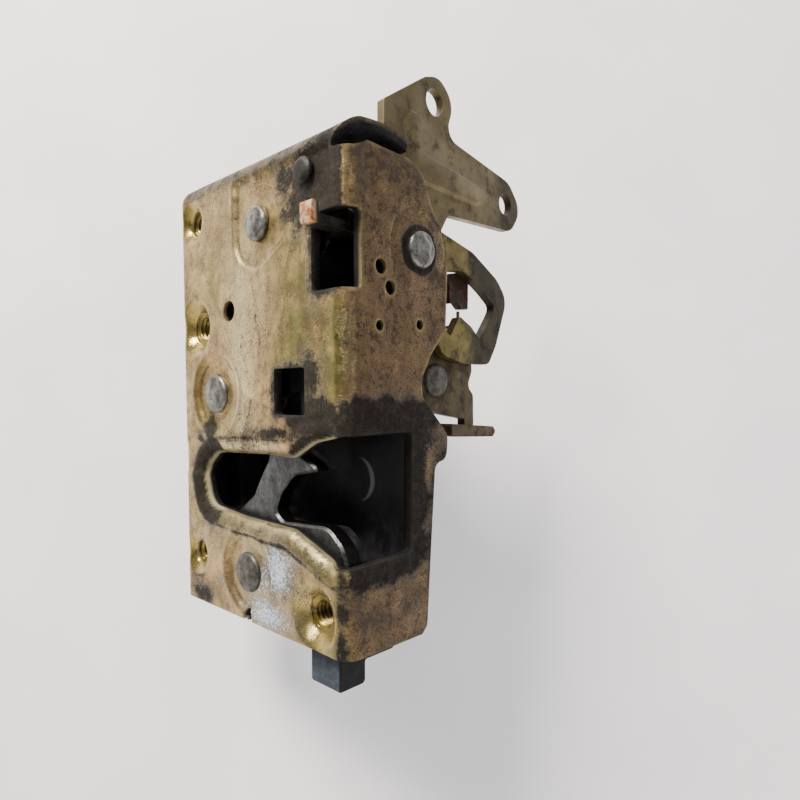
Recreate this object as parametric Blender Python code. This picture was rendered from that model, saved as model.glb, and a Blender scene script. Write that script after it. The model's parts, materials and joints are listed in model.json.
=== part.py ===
"""Rotary door latch: an L-shaped pressed housing with a fork-shaped claw, a pawl and its levers.

+Z is up as mounted. The face plate's outer plane is y = 0 and faces -Y, the side plate faces +X.
The origin is the centre of the face plate's outer plane. All sizes below are in millimetres and
each mesh is turned into metres as it is made.
"""
import math

import bmesh
import bpy
from mathutils import Matrix, Vector

MM = 0.001
GAP = 0.3                 # assembly gap between pieces that touch

# ---- Driving dimensions -------------------------------------------------------------------
PLATE_W = 58.3            # face plate, left edge to side plate
PLATE_H = 95.0            # face plate, bottom edge to top flange
SHEET = 2.0               # housing sheet
SIDE_DEPTH = 28.4         # deepest reach of the side plate
TOP_FLANGE_DEPTH = 16.2
LEFT_FLANGE_DEPTH = 12.0
CORNER_R = 3.2            # outer bend between face and side
EDGE_R = 2.6              # outer bend of the left flange
TOP_EDGE_R = 3.8          # outer bend of the top flange
FLANGE_RISE = 0.9         # the top flange stands this far above the face plate's measured height

MECH_Y = 4.2              # front plane of claw and pawl
MECH_T = 3.8              # claw and pawl thickness
JACKET_T = 2.0            # moulded backing of the claw
BACK_Y = 17.8             # front plane of the back plate
BACK_T = 1.6
LEVER_T = 1.8             # sheet of the small levers

SIDE_LAYER_GAP = 0.4      # running gap between the levers beside the side plate
LOCK_T = 2.0
BEARING_T = 2.0
ROD_LEVER_T = 1.9
INNER_BEARING_T = 1.6

PIVOT_R = 2.9             # shank of the pivot rivets
PIVOT_CLEARANCE = 0.3
PIVOT_HEAD_R = 4.3
LIFT_HEAD_R = 3.5         # the lift lever's rivet has a smaller head
RECESS_R = 7.7            # floor radius of the pressed recess round a pivot
RECESS_DEPTH = 0.9
TONGUE_DEPTH = 0.7        # recess round the upper pivot
TAIL_R = 2.0              # riveted tail through the back plate
TAIL_HEAD_R = 3.4

SCREW_COUNTERSINK_R = 6.3
SCREW_BUSH_R = 4.4
SCREW_CORE_R = 2.6
SMALL_COUNTERSINK_R = 4.75
SMALL_BUSH_R = 3.0
SMALL_CORE_R = 1.8
BUSH_LENGTH = 5.5

MOUTH_DEPTH = 17.3        # reach of the striker mouth into the side plate

ROD_EYE_R = 2.75
WIRE_R = 0.55             # torsion spring wire
DETENT_WIRE_R = 0.4
CLAW_COIL_R = PIVOT_R + 2.7
PAWL_COIL_R = PIVOT_R + 1.7
LIFT_COIL_R = PIVOT_R + 1.3

# ---- Places, from the plate's own edges ------------------------------------------------------
CORNER = PLATE_W / 2
LEFT = -PLATE_W / 2
BOTTOM = -PLATE_H / 2
TOP = PLATE_H / 2
FLANGE_TOP = TOP + FLANGE_RISE

CLAW_PIVOT = (CORNER - 31.7, BOTTOM + 10.5)
PAWL_PIVOT = (CORNER - 43.3, BOTTOM + 48.4)
LIFT_PIVOT = (CORNER - 26.8, TOP - 12.7)
STUD = (CORNER - 11.5, TOP - 6.3)
SIDE_PIVOT = (19.2, TOP - 19.2)                             # (y, z)
BEARING_RIVET = (SIDE_PIVOT[0] + 10.7, SIDE_PIVOT[1] - 24.6)   # (y, z)

SCREW_BUSHES = {
    "screw_bush_left": (LEFT + SHEET + 4.8, TOP - 31.5),
    "screw_bush_right": (CORNER - 9.5, BOTTOM + 6.3),
}
SMALL_BUSHES = {
    "guide_bush_top": (LEFT + SHEET + 3.9, TOP - 7.9),
    "guide_bush_bottom": (LEFT + SHEET + 3.5, BOTTOM + 11.0),
}

# Layers beside the side plate, as (inner x, outer x)
SIDE_IN = CORNER - SHEET
LOCK_X = (SIDE_IN - SIDE_LAYER_GAP - LOCK_T, SIDE_IN - SIDE_LAYER_GAP)
BEARING_X = (LOCK_X[0] - SIDE_LAYER_GAP - BEARING_T, LOCK_X[0] - SIDE_LAYER_GAP)
ROD_LEVER_X = (BEARING_X[0] - GAP - ROD_LEVER_T, BEARING_X[0] - GAP)
INNER_X = (ROD_LEVER_X[0] - 2 * SIDE_LAYER_GAP - INNER_BEARING_T, ROD_LEVER_X[0] - 2 * SIDE_LAYER_GAP)

FOOT_RIVET = (INNER_X[0] - 9.0, SIDE_PIVOT[1] - 14.0)          # (x, z)


# ---- Shape helpers -------------------------------------------------------------------------
def moved(points, du, dv):
    """An outline with its anchor at (du, dv)."""
    return [(p[0] + du, p[1] + dv) + tuple(p[2:]) for p in points]


def rounded(points, steps=5):
    """Turn (u, v, radius) corners into arcs; a corner without a radius stays sharp."""
    out = []
    count = len(points)
    for i, point in enumerate(points):
        here = Vector(point[:2])
        radius = point[2] if len(point) > 2 else 0.0
        if radius <= 0.0:
            out.append(tuple(here))
            continue
        back = (Vector(points[i - 1][:2]) - here)
        ahead = (Vector(points[(i + 1) % count][:2]) - here)
        half = back.angle(ahead) / 2
        if half > math.radians(89.0):
            out.append(tuple(here))
            continue
        reach = min(radius / math.tan(half), 0.49 * back.length, 0.49 * ahead.length)
        radius = reach * math.tan(half)
        centre = here + (back.normalized() + ahead.normalized()).normalized() * radius / math.sin(half)
        start = here + back.normalized() * reach - centre
        end = here + ahead.normalized() * reach - centre
        turn = start.angle_signed(end)
        for k in range(steps + 1):
            angle = -turn * k / steps
            arm = Vector((start.x * math.cos(angle) - start.y * math.sin(angle),
                          start.x * math.sin(angle) + start.y * math.cos(angle)))
            out.append(tuple(centre + arm))
    return out


def grown(points, distance):
    """A closed outline moved outwards by a distance, corner by corner."""
    area = sum(points[i - 1][0] * p[1] - p[0] * points[i - 1][1] for i, p in enumerate(points))
    side = 1.0 if area > 0 else -1.0
    out = []
    for i, point in enumerate(points):
        here = Vector(point)
        before = (here - Vector(points[i - 1])).normalized()
        after = (Vector(points[(i + 1) % len(points)]) - here).normalized()
        normal = Vector((before.y + after.y, -before.x - after.x)).normalized() * side
        spread = max(0.4, normal.dot(Vector((before.y, -before.x)) * side))
        out.append(tuple(here + normal * distance / spread))
    return out


def circle(u, v, radius, sides=24):
    return [(u + radius * math.cos(2 * math.pi * k / sides), v + radius * math.sin(2 * math.pi * k / sides))
            for k in range(sides)]


def place(axis, u, v, t):
    """A point of an outline (u, v) at height t along the axis: X reads (y, z), Y (x, z), Z (x, y)."""
    return {"X": (t, u, v), "Y": (u, t, v), "Z": (u, v, t)}[axis]


def add_layers(bm, axis, layers):
    """A solid through closed outlines of equal point count, each at its own height."""
    rings = [[bm.verts.new(place(axis, u, v, t)) for u, v in outline] for outline, t in layers]
    count = len(rings[0])
    faces = [bm.faces.new(rings[0]), bm.faces.new(rings[-1])]
    for low, high in zip(rings, rings[1:]):
        for i in range(count):
            faces.append(bm.faces.new((low[i - 1], low[i], high[i], high[i - 1])))
    bmesh.ops.recalc_face_normals(bm, faces=faces)


def add_prism(bm, axis, outline, low, high):
    add_layers(bm, axis, [(outline, low), (outline, high)])


def add_box(bm, low, high):
    outline = [(low[0], low[1]), (high[0], low[1]), (high[0], high[1]), (low[0], high[1])]
    add_prism(bm, "Z", outline, low[2], high[2])


def add_turned(bm, axis, centre, profile, sides=22):
    """A solid of revolution about the axis through centre: (radius, height) pairs, 0 at both ends."""
    ends = [bm.verts.new(place(axis, *centre, t)) for t in (profile[0][1], profile[-1][1])]
    rings = [[bm.verts.new(place(axis, u, v, t)) for u, v in circle(*centre, r, sides)]
             for r, t in profile[1:-1]]
    faces = []
    for i in range(sides):
        faces.append(bm.faces.new((ends[0], rings[0][i - 1], rings[0][i])))
        faces.append(bm.faces.new((ends[1], rings[-1][i], rings[-1][i - 1])))
    for low, high in zip(rings, rings[1:]):
        for i in range(sides):
            faces.append(bm.faces.new((low[i - 1], low[i], high[i], high[i - 1])))
    bmesh.ops.recalc_face_normals(bm, faces=faces)


def add_ring(bm, axis, centre, profile, sides=28):
    """A closed ring section of (radius, height) pairs, turned about the axis."""
    rings = [[bm.verts.new(place(axis, u, v, t)) for u, v in circle(*centre, r, sides)] for r, t in profile]
    faces = []
    for k, ring in enumerate(rings):
        for i in range(sides):
            faces.append(bm.faces.new((rings[k - 1][i - 1], rings[k - 1][i], ring[i], ring[i - 1])))
    bmesh.ops.recalc_face_normals(bm, faces=faces)


def add_wire(bm, path, radius, sides=8):
    """A round wire along a path of points, closed with flat ends."""
    points = [Vector(p) for p in path]
    tangent = (points[1] - points[0]).normalized()
    normal = tangent.orthogonal().normalized()
    rings = []
    for i, point in enumerate(points):
        ahead = points[min(i + 1, len(points) - 1)] - points[max(i - 1, 0)]
        turn = tangent.rotation_difference(ahead.normalized())
        tangent = ahead.normalized()
        normal = (turn @ normal).normalized()
        binormal = tangent.cross(normal)
        rings.append([bm.verts.new(point + radius * (math.cos(a) * normal + math.sin(a) * binormal))
                      for a in (2 * math.pi * k / sides for k in range(sides))])
    faces = [bm.faces.new(rings[0]), bm.faces.new(rings[-1])]
    for low, high in zip(rings, rings[1:]):
        for i in range(sides):
            faces.append(bm.faces.new((low[i - 1], low[i], high[i], high[i - 1])))
    bmesh.ops.recalc_face_normals(bm, faces=faces)


def material(name, colour, roughness, metallic):
    made = bpy.data.materials.new(name)
    made.use_nodes = True
    shader = made.node_tree.nodes["Principled BSDF"]
    shader.inputs["Base Color"].default_value = (*colour, 1.0)
    shader.inputs["Roughness"].default_value = roughness
    shader.inputs["Metallic"].default_value = metallic
    return made


def solid(name, bm, origin, colour, roughness=0.45, metallic=1.0, smooth=False):
    """Make an object from a bmesh in millimetres, with its origin at the given point."""
    bmesh.ops.transform(bm, matrix=Matrix.Scale(MM, 4) @ Matrix.Translation(-Vector(origin)), verts=bm.verts)
    mesh = bpy.data.meshes.new(name)
    bm.to_mesh(mesh)
    bm.free()
    if smooth:
        mesh.shade_smooth()
        mesh.set_sharp_from_angle(angle=math.radians(35))
    obj = bpy.data.objects.new(name, mesh)
    obj.location = Vector(origin) * MM
    mesh.materials.append(material(name, colour, roughness, metallic))
    bpy.context.collection.objects.link(obj)
    return obj


def shape(target, operation, bm, name):
    """Apply a Boolean of a helper solid, given in millimetres, to a target."""
    tool = solid(name, bm, (0, 0, 0), (0.5, 0.5, 0.5))
    tool.hide_render = True
    tool.display_type = "WIRE"
    step = target.modifiers.new(name, "BOOLEAN")
    step.operation = operation
    step.solver = "EXACT"
    step.object = tool


# ---- Outlines -------------------------------------------------------------------------------
def mouth_outline():
    """Striker mouth in the face, from the lower corner of the plate, closed past the corner."""
    return rounded(moved([
        (3.0, 41.2), (-3.3, 40.6, 1.5), (-11.5, 39.0, 6.0), (-18.0, 35.6, 5.0), (-25.0, 35.9, 6.0),
        (-46.0, 35.2, 4.0), (-51.0, 31.5, 3.5), (-48.4, 23.0, 4.0), (-34.5, 21.8, 6.0),
        (-17.5, 21.5, 6.0), (-3.4, 16.6, 2.5), (3.0, 16.8)], CORNER, BOTTOM))


def claw_outline():
    """Fork with a horned rear finger, a round front finger and the striker slot between them."""
    return rounded([
        (2.1, 23.6), (0.2, 21.4), (-1.7, 18.5), (-3.4, 15.8, 2.0), (-9.6, 11.6, 2.0), (-11.3, 7.0, 3.0),
        (-9.5, -2.0, 4.0), (-6.0, -7.2, 3.0), (3.0, -8.8, 4.0), (9.0, -7.0, 3.0), (16.0, 1.2, 5.0),
        (25.0, 2.2, 2.0), (27.7, 4.6, 2.0), (25.8, 8.9, 5.0), (21.5, 12.2, 5.0), (7.4, 11.3, 2.0),
        (4.4, 13.0, 1.5), (6.3, 17.0, 4.0), (10.8, 21.3, 4.0), (18.6, 22.7, 0.5), (17.4, 23.9, 0.6),
        (10.0, 27.2, 4.0), (3.6, 28.6, 1.5)], steps=4)


def rod_lever_outline():
    hub = [(8.6 * math.cos(a), 8.6 * math.sin(a)) for a in
           (math.radians(d) for d in (-20, -40, -60, -80))]
    heel = [(-1.0, -10.5, 2.0), (-2.0, -21.5, 1.5), (-6.6, -21.5, 1.5), (-8.4, -8.0, 3.0)]
    side = [(-8.6, 2.0, 2.0), (-7.0, 6.6, 2.0), (-2.6, 9.5, 2.0)]
    arm = [(-2.6, 29.6, 0.6), (9.6, 38.0, 3.0), (14.2, 39.6, 4.5), (19.3, 35.4, 4.5), (16.3, 28.0, 3.0),
           (41.0, 24.1, 6.0), (46.6, 18.4, 6.0), (42.2, 12.6, 4.0), (17.6, 11.6, 2.0), (14.6, 7.0, 2.0)]
    return rounded(hub + heel + side + arm)


def lock_lever_outline():
    hub = [(7.8 * math.cos(a), 7.8 * math.sin(a)) for a in
           (math.radians(d) for d in (-110, -135, -160, -185, -210, -235, -260))]
    return rounded(hub + [
        (9.6, 5.6, 4.0), (20.3, 3.2, 9.0), (29.5, -1.4, 8.0), (33.6, -5.6, 4.0), (29.4, -16.4, 9.0),
        (26.6, -20.8, 2.5), (17.0, -20.9, 8.0), (10.4, -19.4, 4.0), (6.4, -14.6, 2.0)], steps=4)


def lock_window_outline():
    """Opening of the lock lever with two V notches for the detent, along its lower edge."""
    return rounded([
        (8.4, -2.2, 1.0), (17.2, -1.2, 5.0), (24.2, -4.7, 9.0), (28.9, -7.6, 1.5), (27.2, -10.1, 3.0),
        (23.1, -15.4, 0.5), (20.0, -12.8, 1.5), (15.7, -10.8, 0.8), (12.5, -15.6, 0.6), (10.6, -13.4, 1.0),
        (8.2, -12.4, 1.0), (7.4, -7.5, 2.0)], steps=4)


def side_waste_outline():
    """Everything behind the side plate's back edge, from the top flange down to the bottom."""
    upper = moved([
        (3.2, -1.1), (3.2, -3.9), (6.5, -3.1, 1.5), (16.0, -3.0, 1.0), (19.6, -4.6, 2.0), (22.9, -10.8, 3.0),
        (25.9, -14.6, 2.0), (27.6, -22.0, 4.0), (27.2, -34.0, 2.0), (22.6, -39.0, 3.0), (19.8, -44.0, 3.0),
        (20.2, -47.4, 2.0), (28.2, -55.0, 3.0), (27.8, -60.0, 2.0), (24.2, -60.8, 2.0)], 0, TOP)
    lower = moved([(23.2, 20.0), (22.0, 1.5, 1.2), (20.0, -2.0), (SIDE_DEPTH + 6, -2.0)], 0, BOTTOM)
    return rounded(upper + lower + [(SIDE_DEPTH + 6, TOP - 1.1)])


# ---- Pieces ---------------------------------------------------------------------------------
def housing():
    """L-shaped pressing: face, side plate, top flange and left flange from one sheet."""
    plan = rounded([(LEFT, 0, EDGE_R), (CORNER, 0, CORNER_R), (CORNER, SIDE_DEPTH), (LEFT, SIDE_DEPTH)])
    bm = bmesh.new()
    add_prism(bm, "Z", plan, BOTTOM, FLANGE_TOP)
    body = solid("housing", bm, (0, 0, 0), (0.62, 0.47, 0.28), 0.42)

    inner = rounded([(LEFT + SHEET, SHEET, EDGE_R - SHEET), (CORNER - SHEET, SHEET, CORNER_R - SHEET),
                     (CORNER - SHEET, SIDE_DEPTH + 1), (LEFT + SHEET, SIDE_DEPTH + 1)])
    bm = bmesh.new()
    add_prism(bm, "Z", inner, BOTTOM - 1, FLANGE_TOP - SHEET)
    shape(body, "DIFFERENCE", bm, "housing_inside")

    section = rounded([
        (SIDE_DEPTH + 5, BOTTOM - 5), (SIDE_DEPTH + 5, FLANGE_TOP + 5), (SIDE_DEPTH, FLANGE_TOP),
        (0, FLANGE_TOP, TOP_EDGE_R), (0, BOTTOM - 5)], steps=6)
    bm = bmesh.new()
    add_prism(bm, "X", section, LEFT - 1, CORNER + 1)
    shape(body, "INTERSECT", bm, "housing_top_bend")

    bm = bmesh.new()
    add_prism(bm, "X", side_waste_outline(), CORNER - SHEET - 1, CORNER + 8)
    shape(body, "DIFFERENCE", bm, "housing_side_trim")

    bm = bmesh.new()
    add_box(bm, (LEFT - 1, TOP_FLANGE_DEPTH, FLANGE_TOP - SHEET - 0.5),
            (CORNER + 1, SIDE_DEPTH + 1, FLANGE_TOP + 1))
    shape(body, "DIFFERENCE", bm, "housing_top_flange_trim")

    bm = bmesh.new()
    add_box(bm, (LEFT - 1, LEFT_FLANGE_DEPTH, BOTTOM - 1),
            (LEFT + SHEET + 1, SIDE_DEPTH + 1, FLANGE_TOP - SHEET - 0.2))
    shape(body, "DIFFERENCE", bm, "housing_left_flange_trim")

    shape(body, "DIFFERENCE", face_mouth_tool(), "housing_face_mouth")
    shape(body, "DIFFERENCE", side_mouth_tool(), "housing_side_mouth")
    shape(body, "DIFFERENCE", round_recess_tool(), "housing_round_recesses")
    shape(body, "DIFFERENCE", tongue_recess_tool(), "housing_tongue_recess")
    shape(body, "DIFFERENCE", hole_tools(), "housing_holes")
    return body


def face_mouth_tool():
    """The mouth through the face, with a flared rim."""
    bm = bmesh.new()
    outline = mouth_outline()
    flare = 1.3
    add_layers(bm, "Y", [(grown(outline, flare), -0.5), (grown(outline, flare * 0.85), 0.1),
                         (grown(outline, flare * 0.3), 0.7), (outline, 1.6), (outline, SHEET + 1)])
    return bm


def side_mouth_tool():
    """The mouth through the side plate, round the corner from the face."""
    bm = bmesh.new()
    side = rounded(moved([(1.0, 17.3), (MOUTH_DEPTH, 17.3, 1.0), (MOUTH_DEPTH, 41.0, 1.0), (1.0, 41.0)],
                         0, BOTTOM))
    add_prism(bm, "X", side, CORNER - SHEET - 1.0, CORNER + 1)
    return bm


def hole_tools():
    """Countersunk screw holes, windows, rivet holes and the notch in the bottom edge."""
    bm = bmesh.new()
    through = SHEET + 0.5
    for centre in SCREW_BUSHES.values():
        add_turned(bm, "Y", centre, [
            (0, -0.4), (SCREW_COUNTERSINK_R + 0.3, -0.4), (SCREW_COUNTERSINK_R, 0.05), (3.5, 1.7),
            (3.5, through), (0, through)])
    for centre in SMALL_BUSHES.values():
        add_turned(bm, "Y", centre, [
            (0, -0.4), (SMALL_COUNTERSINK_R + 0.3, -0.4), (SMALL_COUNTERSINK_R, 0.05), (2.5, 1.5),
            (2.5, through), (0, through)])
    window = rounded(moved([(-9.3, -28.3, 0.8), (1.0, -28.3), (1.0, -14.5), (-9.3, -14.5, 0.8)], CORNER, TOP))
    add_prism(bm, "Y", window, -1, CORNER_R + 1.2)
    square = rounded(moved([(-21.2, 44.2, 0.6), (-11.6, 44.2, 0.6), (-11.6, 53.2, 0.6), (-21.2, 53.2, 0.6)],
                           CORNER, BOTTOM))
    add_prism(bm, "Y", square, -1, through)
    for centre in (CLAW_PIVOT, PAWL_PIVOT, LIFT_PIVOT):
        add_prism(bm, "Y", circle(*centre, PIVOT_R + PIVOT_CLEARANCE), -1, through)
    add_prism(bm, "Y", circle(*STUD, 1.9, 16), -1, through)
    add_prism(bm, "Y", circle(CORNER - 37.2, TOP - 29.1, 2.2, 18), -1, through)
    notch = rounded(moved([(-1.6, -2.0), (1.6, -2.0), (1.6, 2.6, 1.5), (-1.6, 2.6, 1.5)],
                          CLAW_PIVOT[0], BOTTOM))
    add_prism(bm, "Y", notch, -1, through)
    side_holes = ((8.6, -23.8, 1.4), (11.1, -27.3, 1.35), (8.3, -34.4, 1.0), (19.3, -33.4, 1.0))
    for y, z, radius in side_holes:
        add_prism(bm, "X", circle(y, TOP + z, radius, 14), CORNER - SHEET - 1, CORNER + 1)
    add_prism(bm, "X", circle(*SIDE_PIVOT, PIVOT_R + PIVOT_CLEARANCE), CORNER - SHEET - 1, CORNER + 1)
    return bm


def round_recess_tool():
    """Shallow round recesses pressed at the two lower pivots."""
    bm = bmesh.new()
    for centre in (CLAW_PIVOT, PAWL_PIVOT):
        add_turned(bm, "Y", centre, [(0, -0.5), (RECESS_R + 1.8, -0.5), (RECESS_R + 0.6, 0.3),
                                     (RECESS_R, RECESS_DEPTH), (0, RECESS_DEPTH)], 36)
    return bm


def tongue_recess_tool():
    """Shallow tongue-shaped recess pressed round the upper pivot."""
    bm = bmesh.new()
    tongue = rounded(moved([(-34.6, -3.6, 1.0), (-34.6, -19.0, 6.0), (-27.5, -22.0, 5.0), (-12.7, -14.1, 1.5),
                            (-10.4, -12.6, 1.0), (-4.6, -12.6, 1.0), (-4.6, -3.6, 1.0)], CORNER, TOP))
    add_prism(bm, "Y", tongue, -0.5, TONGUE_DEPTH)
    return bm


def back_plate():
    edge = INNER_X[0] - GAP
    outline = rounded([
        (LEFT, BOTTOM + 3.0, 3.0), (CORNER - 2.7, BOTTOM + 3.0, 3.0), (CORNER - 2.7, TOP - 54.0, 2.0),
        (edge, TOP - 50.0, 1.0), (edge, TOP - 3.0, 3.0), (LEFT, TOP - 3.0, 3.0)])
    bm = bmesh.new()
    add_prism(bm, "Y", outline, BACK_Y, BACK_Y + BACK_T)
    plate = solid("back_plate", bm, (0, BACK_Y, 0), (0.10, 0.10, 0.11), 0.5)
    bm = bmesh.new()
    add_box(bm, (LEFT, LEFT_FLANGE_DEPTH + GAP, BOTTOM + 7.0),
            (LEFT + BACK_T, BACK_Y + BACK_T / 2, TOP - 7.0))
    shape(plate, "UNION", bm, "back_plate_side")
    bm = bmesh.new()
    for centre in (CLAW_PIVOT, PAWL_PIVOT, LIFT_PIVOT, FOOT_RIVET):
        add_prism(bm, "Y", circle(*centre, TAIL_R + PIVOT_CLEARANCE, 20), BACK_Y - 1, BACK_Y + BACK_T + 1)
    slot = rounded(moved([(-10, 17, 2.0), (-2, 17, 2.0), (-2, 30, 2.0), (-10, 30, 2.0)], *PAWL_PIVOT))
    add_prism(bm, "Y", slot, BACK_Y - 1, BACK_Y + BACK_T + 1)
    tail_notch = rounded(moved([(-2.6, -4.4, 1.0), (2.0, -4.4), (2.0, 4.4), (-2.6, 4.4, 1.0)],
                               INNER_X[0], SIDE_PIVOT[1]))
    add_prism(bm, "Y", tail_notch, BACK_Y - 1, BACK_Y + BACK_T + 1)
    shape(plate, "DIFFERENCE", bm, "back_plate_holes")
    return plate


def inner_bearing_plate():
    """Bearing for the inner ends of the side rivets, with a foot behind the back plate."""
    web = rounded(moved([
        (-8.0, 9.5, 3.0), (7.0, 9.5, 3.0), (8.8, -2.6, 2.0), (15.4, -2.6, 1.5), (15.4, -26.5, 4.0),
        (5.0, -30.0, 3.0), (-8.0, -14.0, 3.0)], *SIDE_PIVOT))
    bm = bmesh.new()
    add_prism(bm, "X", web, *INNER_X)
    plate = solid("inner_bearing_plate", bm, (INNER_X[0], *SIDE_PIVOT), (0.47, 0.45, 0.34), 0.5)
    foot_y = BACK_Y + BACK_T + GAP
    foot = rounded(moved([(-4.5, -6.5, 3.0), (9.8, -6.5), (9.8, 6.5), (-4.5, 6.5, 3.0)], *FOOT_RIVET))
    bm = bmesh.new()
    add_prism(bm, "Y", foot, foot_y, foot_y + INNER_BEARING_T)
    shape(plate, "UNION", bm, "inner_bearing_foot")
    bm = bmesh.new()
    for centre in (SIDE_PIVOT, BEARING_RIVET):
        add_prism(bm, "X", circle(*centre, TAIL_R + PIVOT_CLEARANCE, 20), INNER_X[0] - 1, INNER_X[1] + 1)
    add_prism(bm, "Y", circle(*FOOT_RIVET, TAIL_R + PIVOT_CLEARANCE, 20),
              foot_y - 1, foot_y + INNER_BEARING_T + 1)
    shape(plate, "DIFFERENCE", bm, "inner_bearing_holes")
    return plate


def bearing_plate():
    """Fixed plate below the lock lever, with a bent tab along its lower end."""
    plate_outline = rounded(moved([
        (-4.0, 7.0, 3.0), (10.0, 8.0, 2.0), (13.2, 3.0, 3.0), (11.2, -1.0, 2.0), (13.4, -3.0, 1.5),
        (13.6, -10.0, 0.4), (10.2, -9.8, 0.3), (10.2, -8.4, 0.3), (0.6, -7.0, 0.6), (-6.0, -4.0, 3.0)],
        *BEARING_RIVET))
    bm = bmesh.new()
    add_prism(bm, "X", plate_outline, *BEARING_X)
    plate = solid("bearing_plate", bm, (BEARING_X[1], *BEARING_RIVET), (0.42, 0.39, 0.27), 0.5)
    tab = rounded(moved([(2.4, -9.2, 0.6), (2.4, -12.0, 0.6), (17.6, -12.6, 0.6), (18.8, -11.4, 0.6),
                         (17.6, -10.2, 0.6)], *BEARING_RIVET), steps=3)
    bm = bmesh.new()
    add_prism(bm, "X", tab, BEARING_X[0] + 0.2, BEARING_X[1] + 2.6)
    shape(plate, "UNION", bm, "bearing_plate_tab")
    bm = bmesh.new()
    add_prism(bm, "X", circle(*BEARING_RIVET, PIVOT_R + PIVOT_CLEARANCE), BEARING_X[0] - 1, BEARING_X[1] + 4)
    shape(plate, "DIFFERENCE", bm, "bearing_plate_hole")
    return plate


def pivot_profile(head_r, floor, tail_start, tail_end):
    """Domed head on a floor plane, shank to the bearing, thin tail and closing head."""
    return [(0, floor - 1.5), (head_r * 0.62, floor - 1.45), (head_r * 0.9, floor - 1.15),
            (head_r, floor - 0.7), (head_r, floor - GAP), (PIVOT_R, floor - GAP),
            (PIVOT_R, tail_start - GAP), (TAIL_R, tail_start - GAP),
            (TAIL_R, tail_end + GAP), (TAIL_HEAD_R, tail_end + GAP), (TAIL_HEAD_R * 0.94, tail_end + 1.0),
            (TAIL_HEAD_R * 0.6, tail_end + 1.4), (0, tail_end + 1.5)]


def rivets():
    steel = (0.42, 0.43, 0.43)
    tail_end = BACK_Y + BACK_T
    for name, centre, floor in (("claw_pivot_rivet", CLAW_PIVOT, RECESS_DEPTH),
                                ("pawl_pivot_rivet", PAWL_PIVOT, RECESS_DEPTH),
                                ("lift_pivot_rivet", LIFT_PIVOT, TONGUE_DEPTH)):
        head = LIFT_HEAD_R if name == "lift_pivot_rivet" else PIVOT_HEAD_R
        bm = bmesh.new()
        add_turned(bm, "Y", centre, pivot_profile(head, floor, BACK_Y, tail_end))
        solid(name, bm, (centre[0], 0, centre[1]), steel, 0.4, smooth=True)

    # the side rivets run inwards, so their profile is mirrored along X
    for name, centre, face, head in (("side_pivot_rivet", SIDE_PIVOT, CORNER, 3.5),
                                     ("bearing_rivet", BEARING_RIVET, BEARING_X[1], 3.6)):
        profile = [(r, face - t) for r, t in
                   pivot_profile(head, 0.0, face - INNER_X[1], face - INNER_X[0])]
        if name == "bearing_rivet":
            profile = [(r, min(t, face + 1.1)) for r, t in profile]
        bm = bmesh.new()
        add_turned(bm, "X", centre, profile)
        solid(name, bm, (face, *centre), steel, 0.4, smooth=True)

    bm = bmesh.new()
    add_turned(bm, "Y", STUD, [
        (0, -0.9), (1.7, -0.8), (2.4, -0.3), (2.5, 0.4), (1.6, 0.4), (1.6, SHEET + GAP),
        (2.5, SHEET + GAP), (2.3, SHEET + 1.3), (0, SHEET + 1.4)], 20)
    solid("stop_stud", bm, (STUD[0], 0, STUD[1]), steel, 0.5, smooth=True)

    foot_end = BACK_Y + BACK_T + GAP + INNER_BEARING_T
    bm = bmesh.new()
    add_turned(bm, "Y", FOOT_RIVET, [
        (0, BACK_Y - 1.3), (TAIL_HEAD_R * 0.8, BACK_Y - 1.1), (TAIL_HEAD_R, BACK_Y - 0.7),
        (TAIL_HEAD_R, BACK_Y - GAP), (TAIL_R, BACK_Y - GAP), (TAIL_R, foot_end + GAP),
        (TAIL_HEAD_R, foot_end + GAP), (TAIL_HEAD_R * 0.8, foot_end + 1.1), (0, foot_end + 1.3)], 20)
    solid("foot_rivet", bm, (FOOT_RIVET[0], BACK_Y, FOOT_RIVET[1]), steel, 0.4, smooth=True)


def bushes():
    for table, outer, core in ((SCREW_BUSHES, SCREW_BUSH_R, SCREW_CORE_R),
                               (SMALL_BUSHES, SMALL_BUSH_R, SMALL_CORE_R)):
        for name, centre in table.items():
            start = SHEET + GAP
            bm = bmesh.new()
            end = start + BUSH_LENGTH
            add_ring(bm, "Y", centre, [
                (core + 0.5, start), (outer - 0.3, start), (outer, start + 0.3), (outer, end - 0.4),
                (outer - 0.4, end), (core + 0.4, end), (core, end - 0.4), (core, start + 0.5)], 24)
            solid(name, bm, (centre[0], start, centre[1]), (0.55, 0.45, 0.2), 0.35, smooth=True)


def claw():
    bm = bmesh.new()
    outline = moved(claw_outline(), *CLAW_PIVOT)
    bevel = 0.5
    add_layers(bm, "Y", [(grown(outline, -bevel), MECH_Y), (outline, MECH_Y + bevel),
                         (outline, MECH_Y + MECH_T - bevel), (grown(outline, -bevel), MECH_Y + MECH_T)])
    fork = solid("claw", bm, (CLAW_PIVOT[0], MECH_Y, CLAW_PIVOT[1]), (0.36, 0.36, 0.34), 0.45)
    bm = bmesh.new()
    add_prism(bm, "Y", circle(*CLAW_PIVOT, PIVOT_R + PIVOT_CLEARANCE), MECH_Y - 1, MECH_Y + MECH_T + 1)
    shape(fork, "DIFFERENCE", bm, "claw_bore")

    bm = bmesh.new()
    jacket_y = MECH_Y + MECH_T + GAP
    backing = grown(outline, -0.7)
    add_prism(bm, "Y", backing, jacket_y, jacket_y + JACKET_T)
    jacket = solid("claw_jacket", bm, (CLAW_PIVOT[0], jacket_y, CLAW_PIVOT[1]), (0.05, 0.05, 0.06),
                   0.4, 0.0)
    bm = bmesh.new()
    add_prism(bm, "Y", circle(*CLAW_PIVOT, PIVOT_R + PIVOT_CLEARANCE), jacket_y - 1, jacket_y + JACKET_T + 1)
    shape(jacket, "DIFFERENCE", bm, "claw_jacket_bore")


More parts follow.
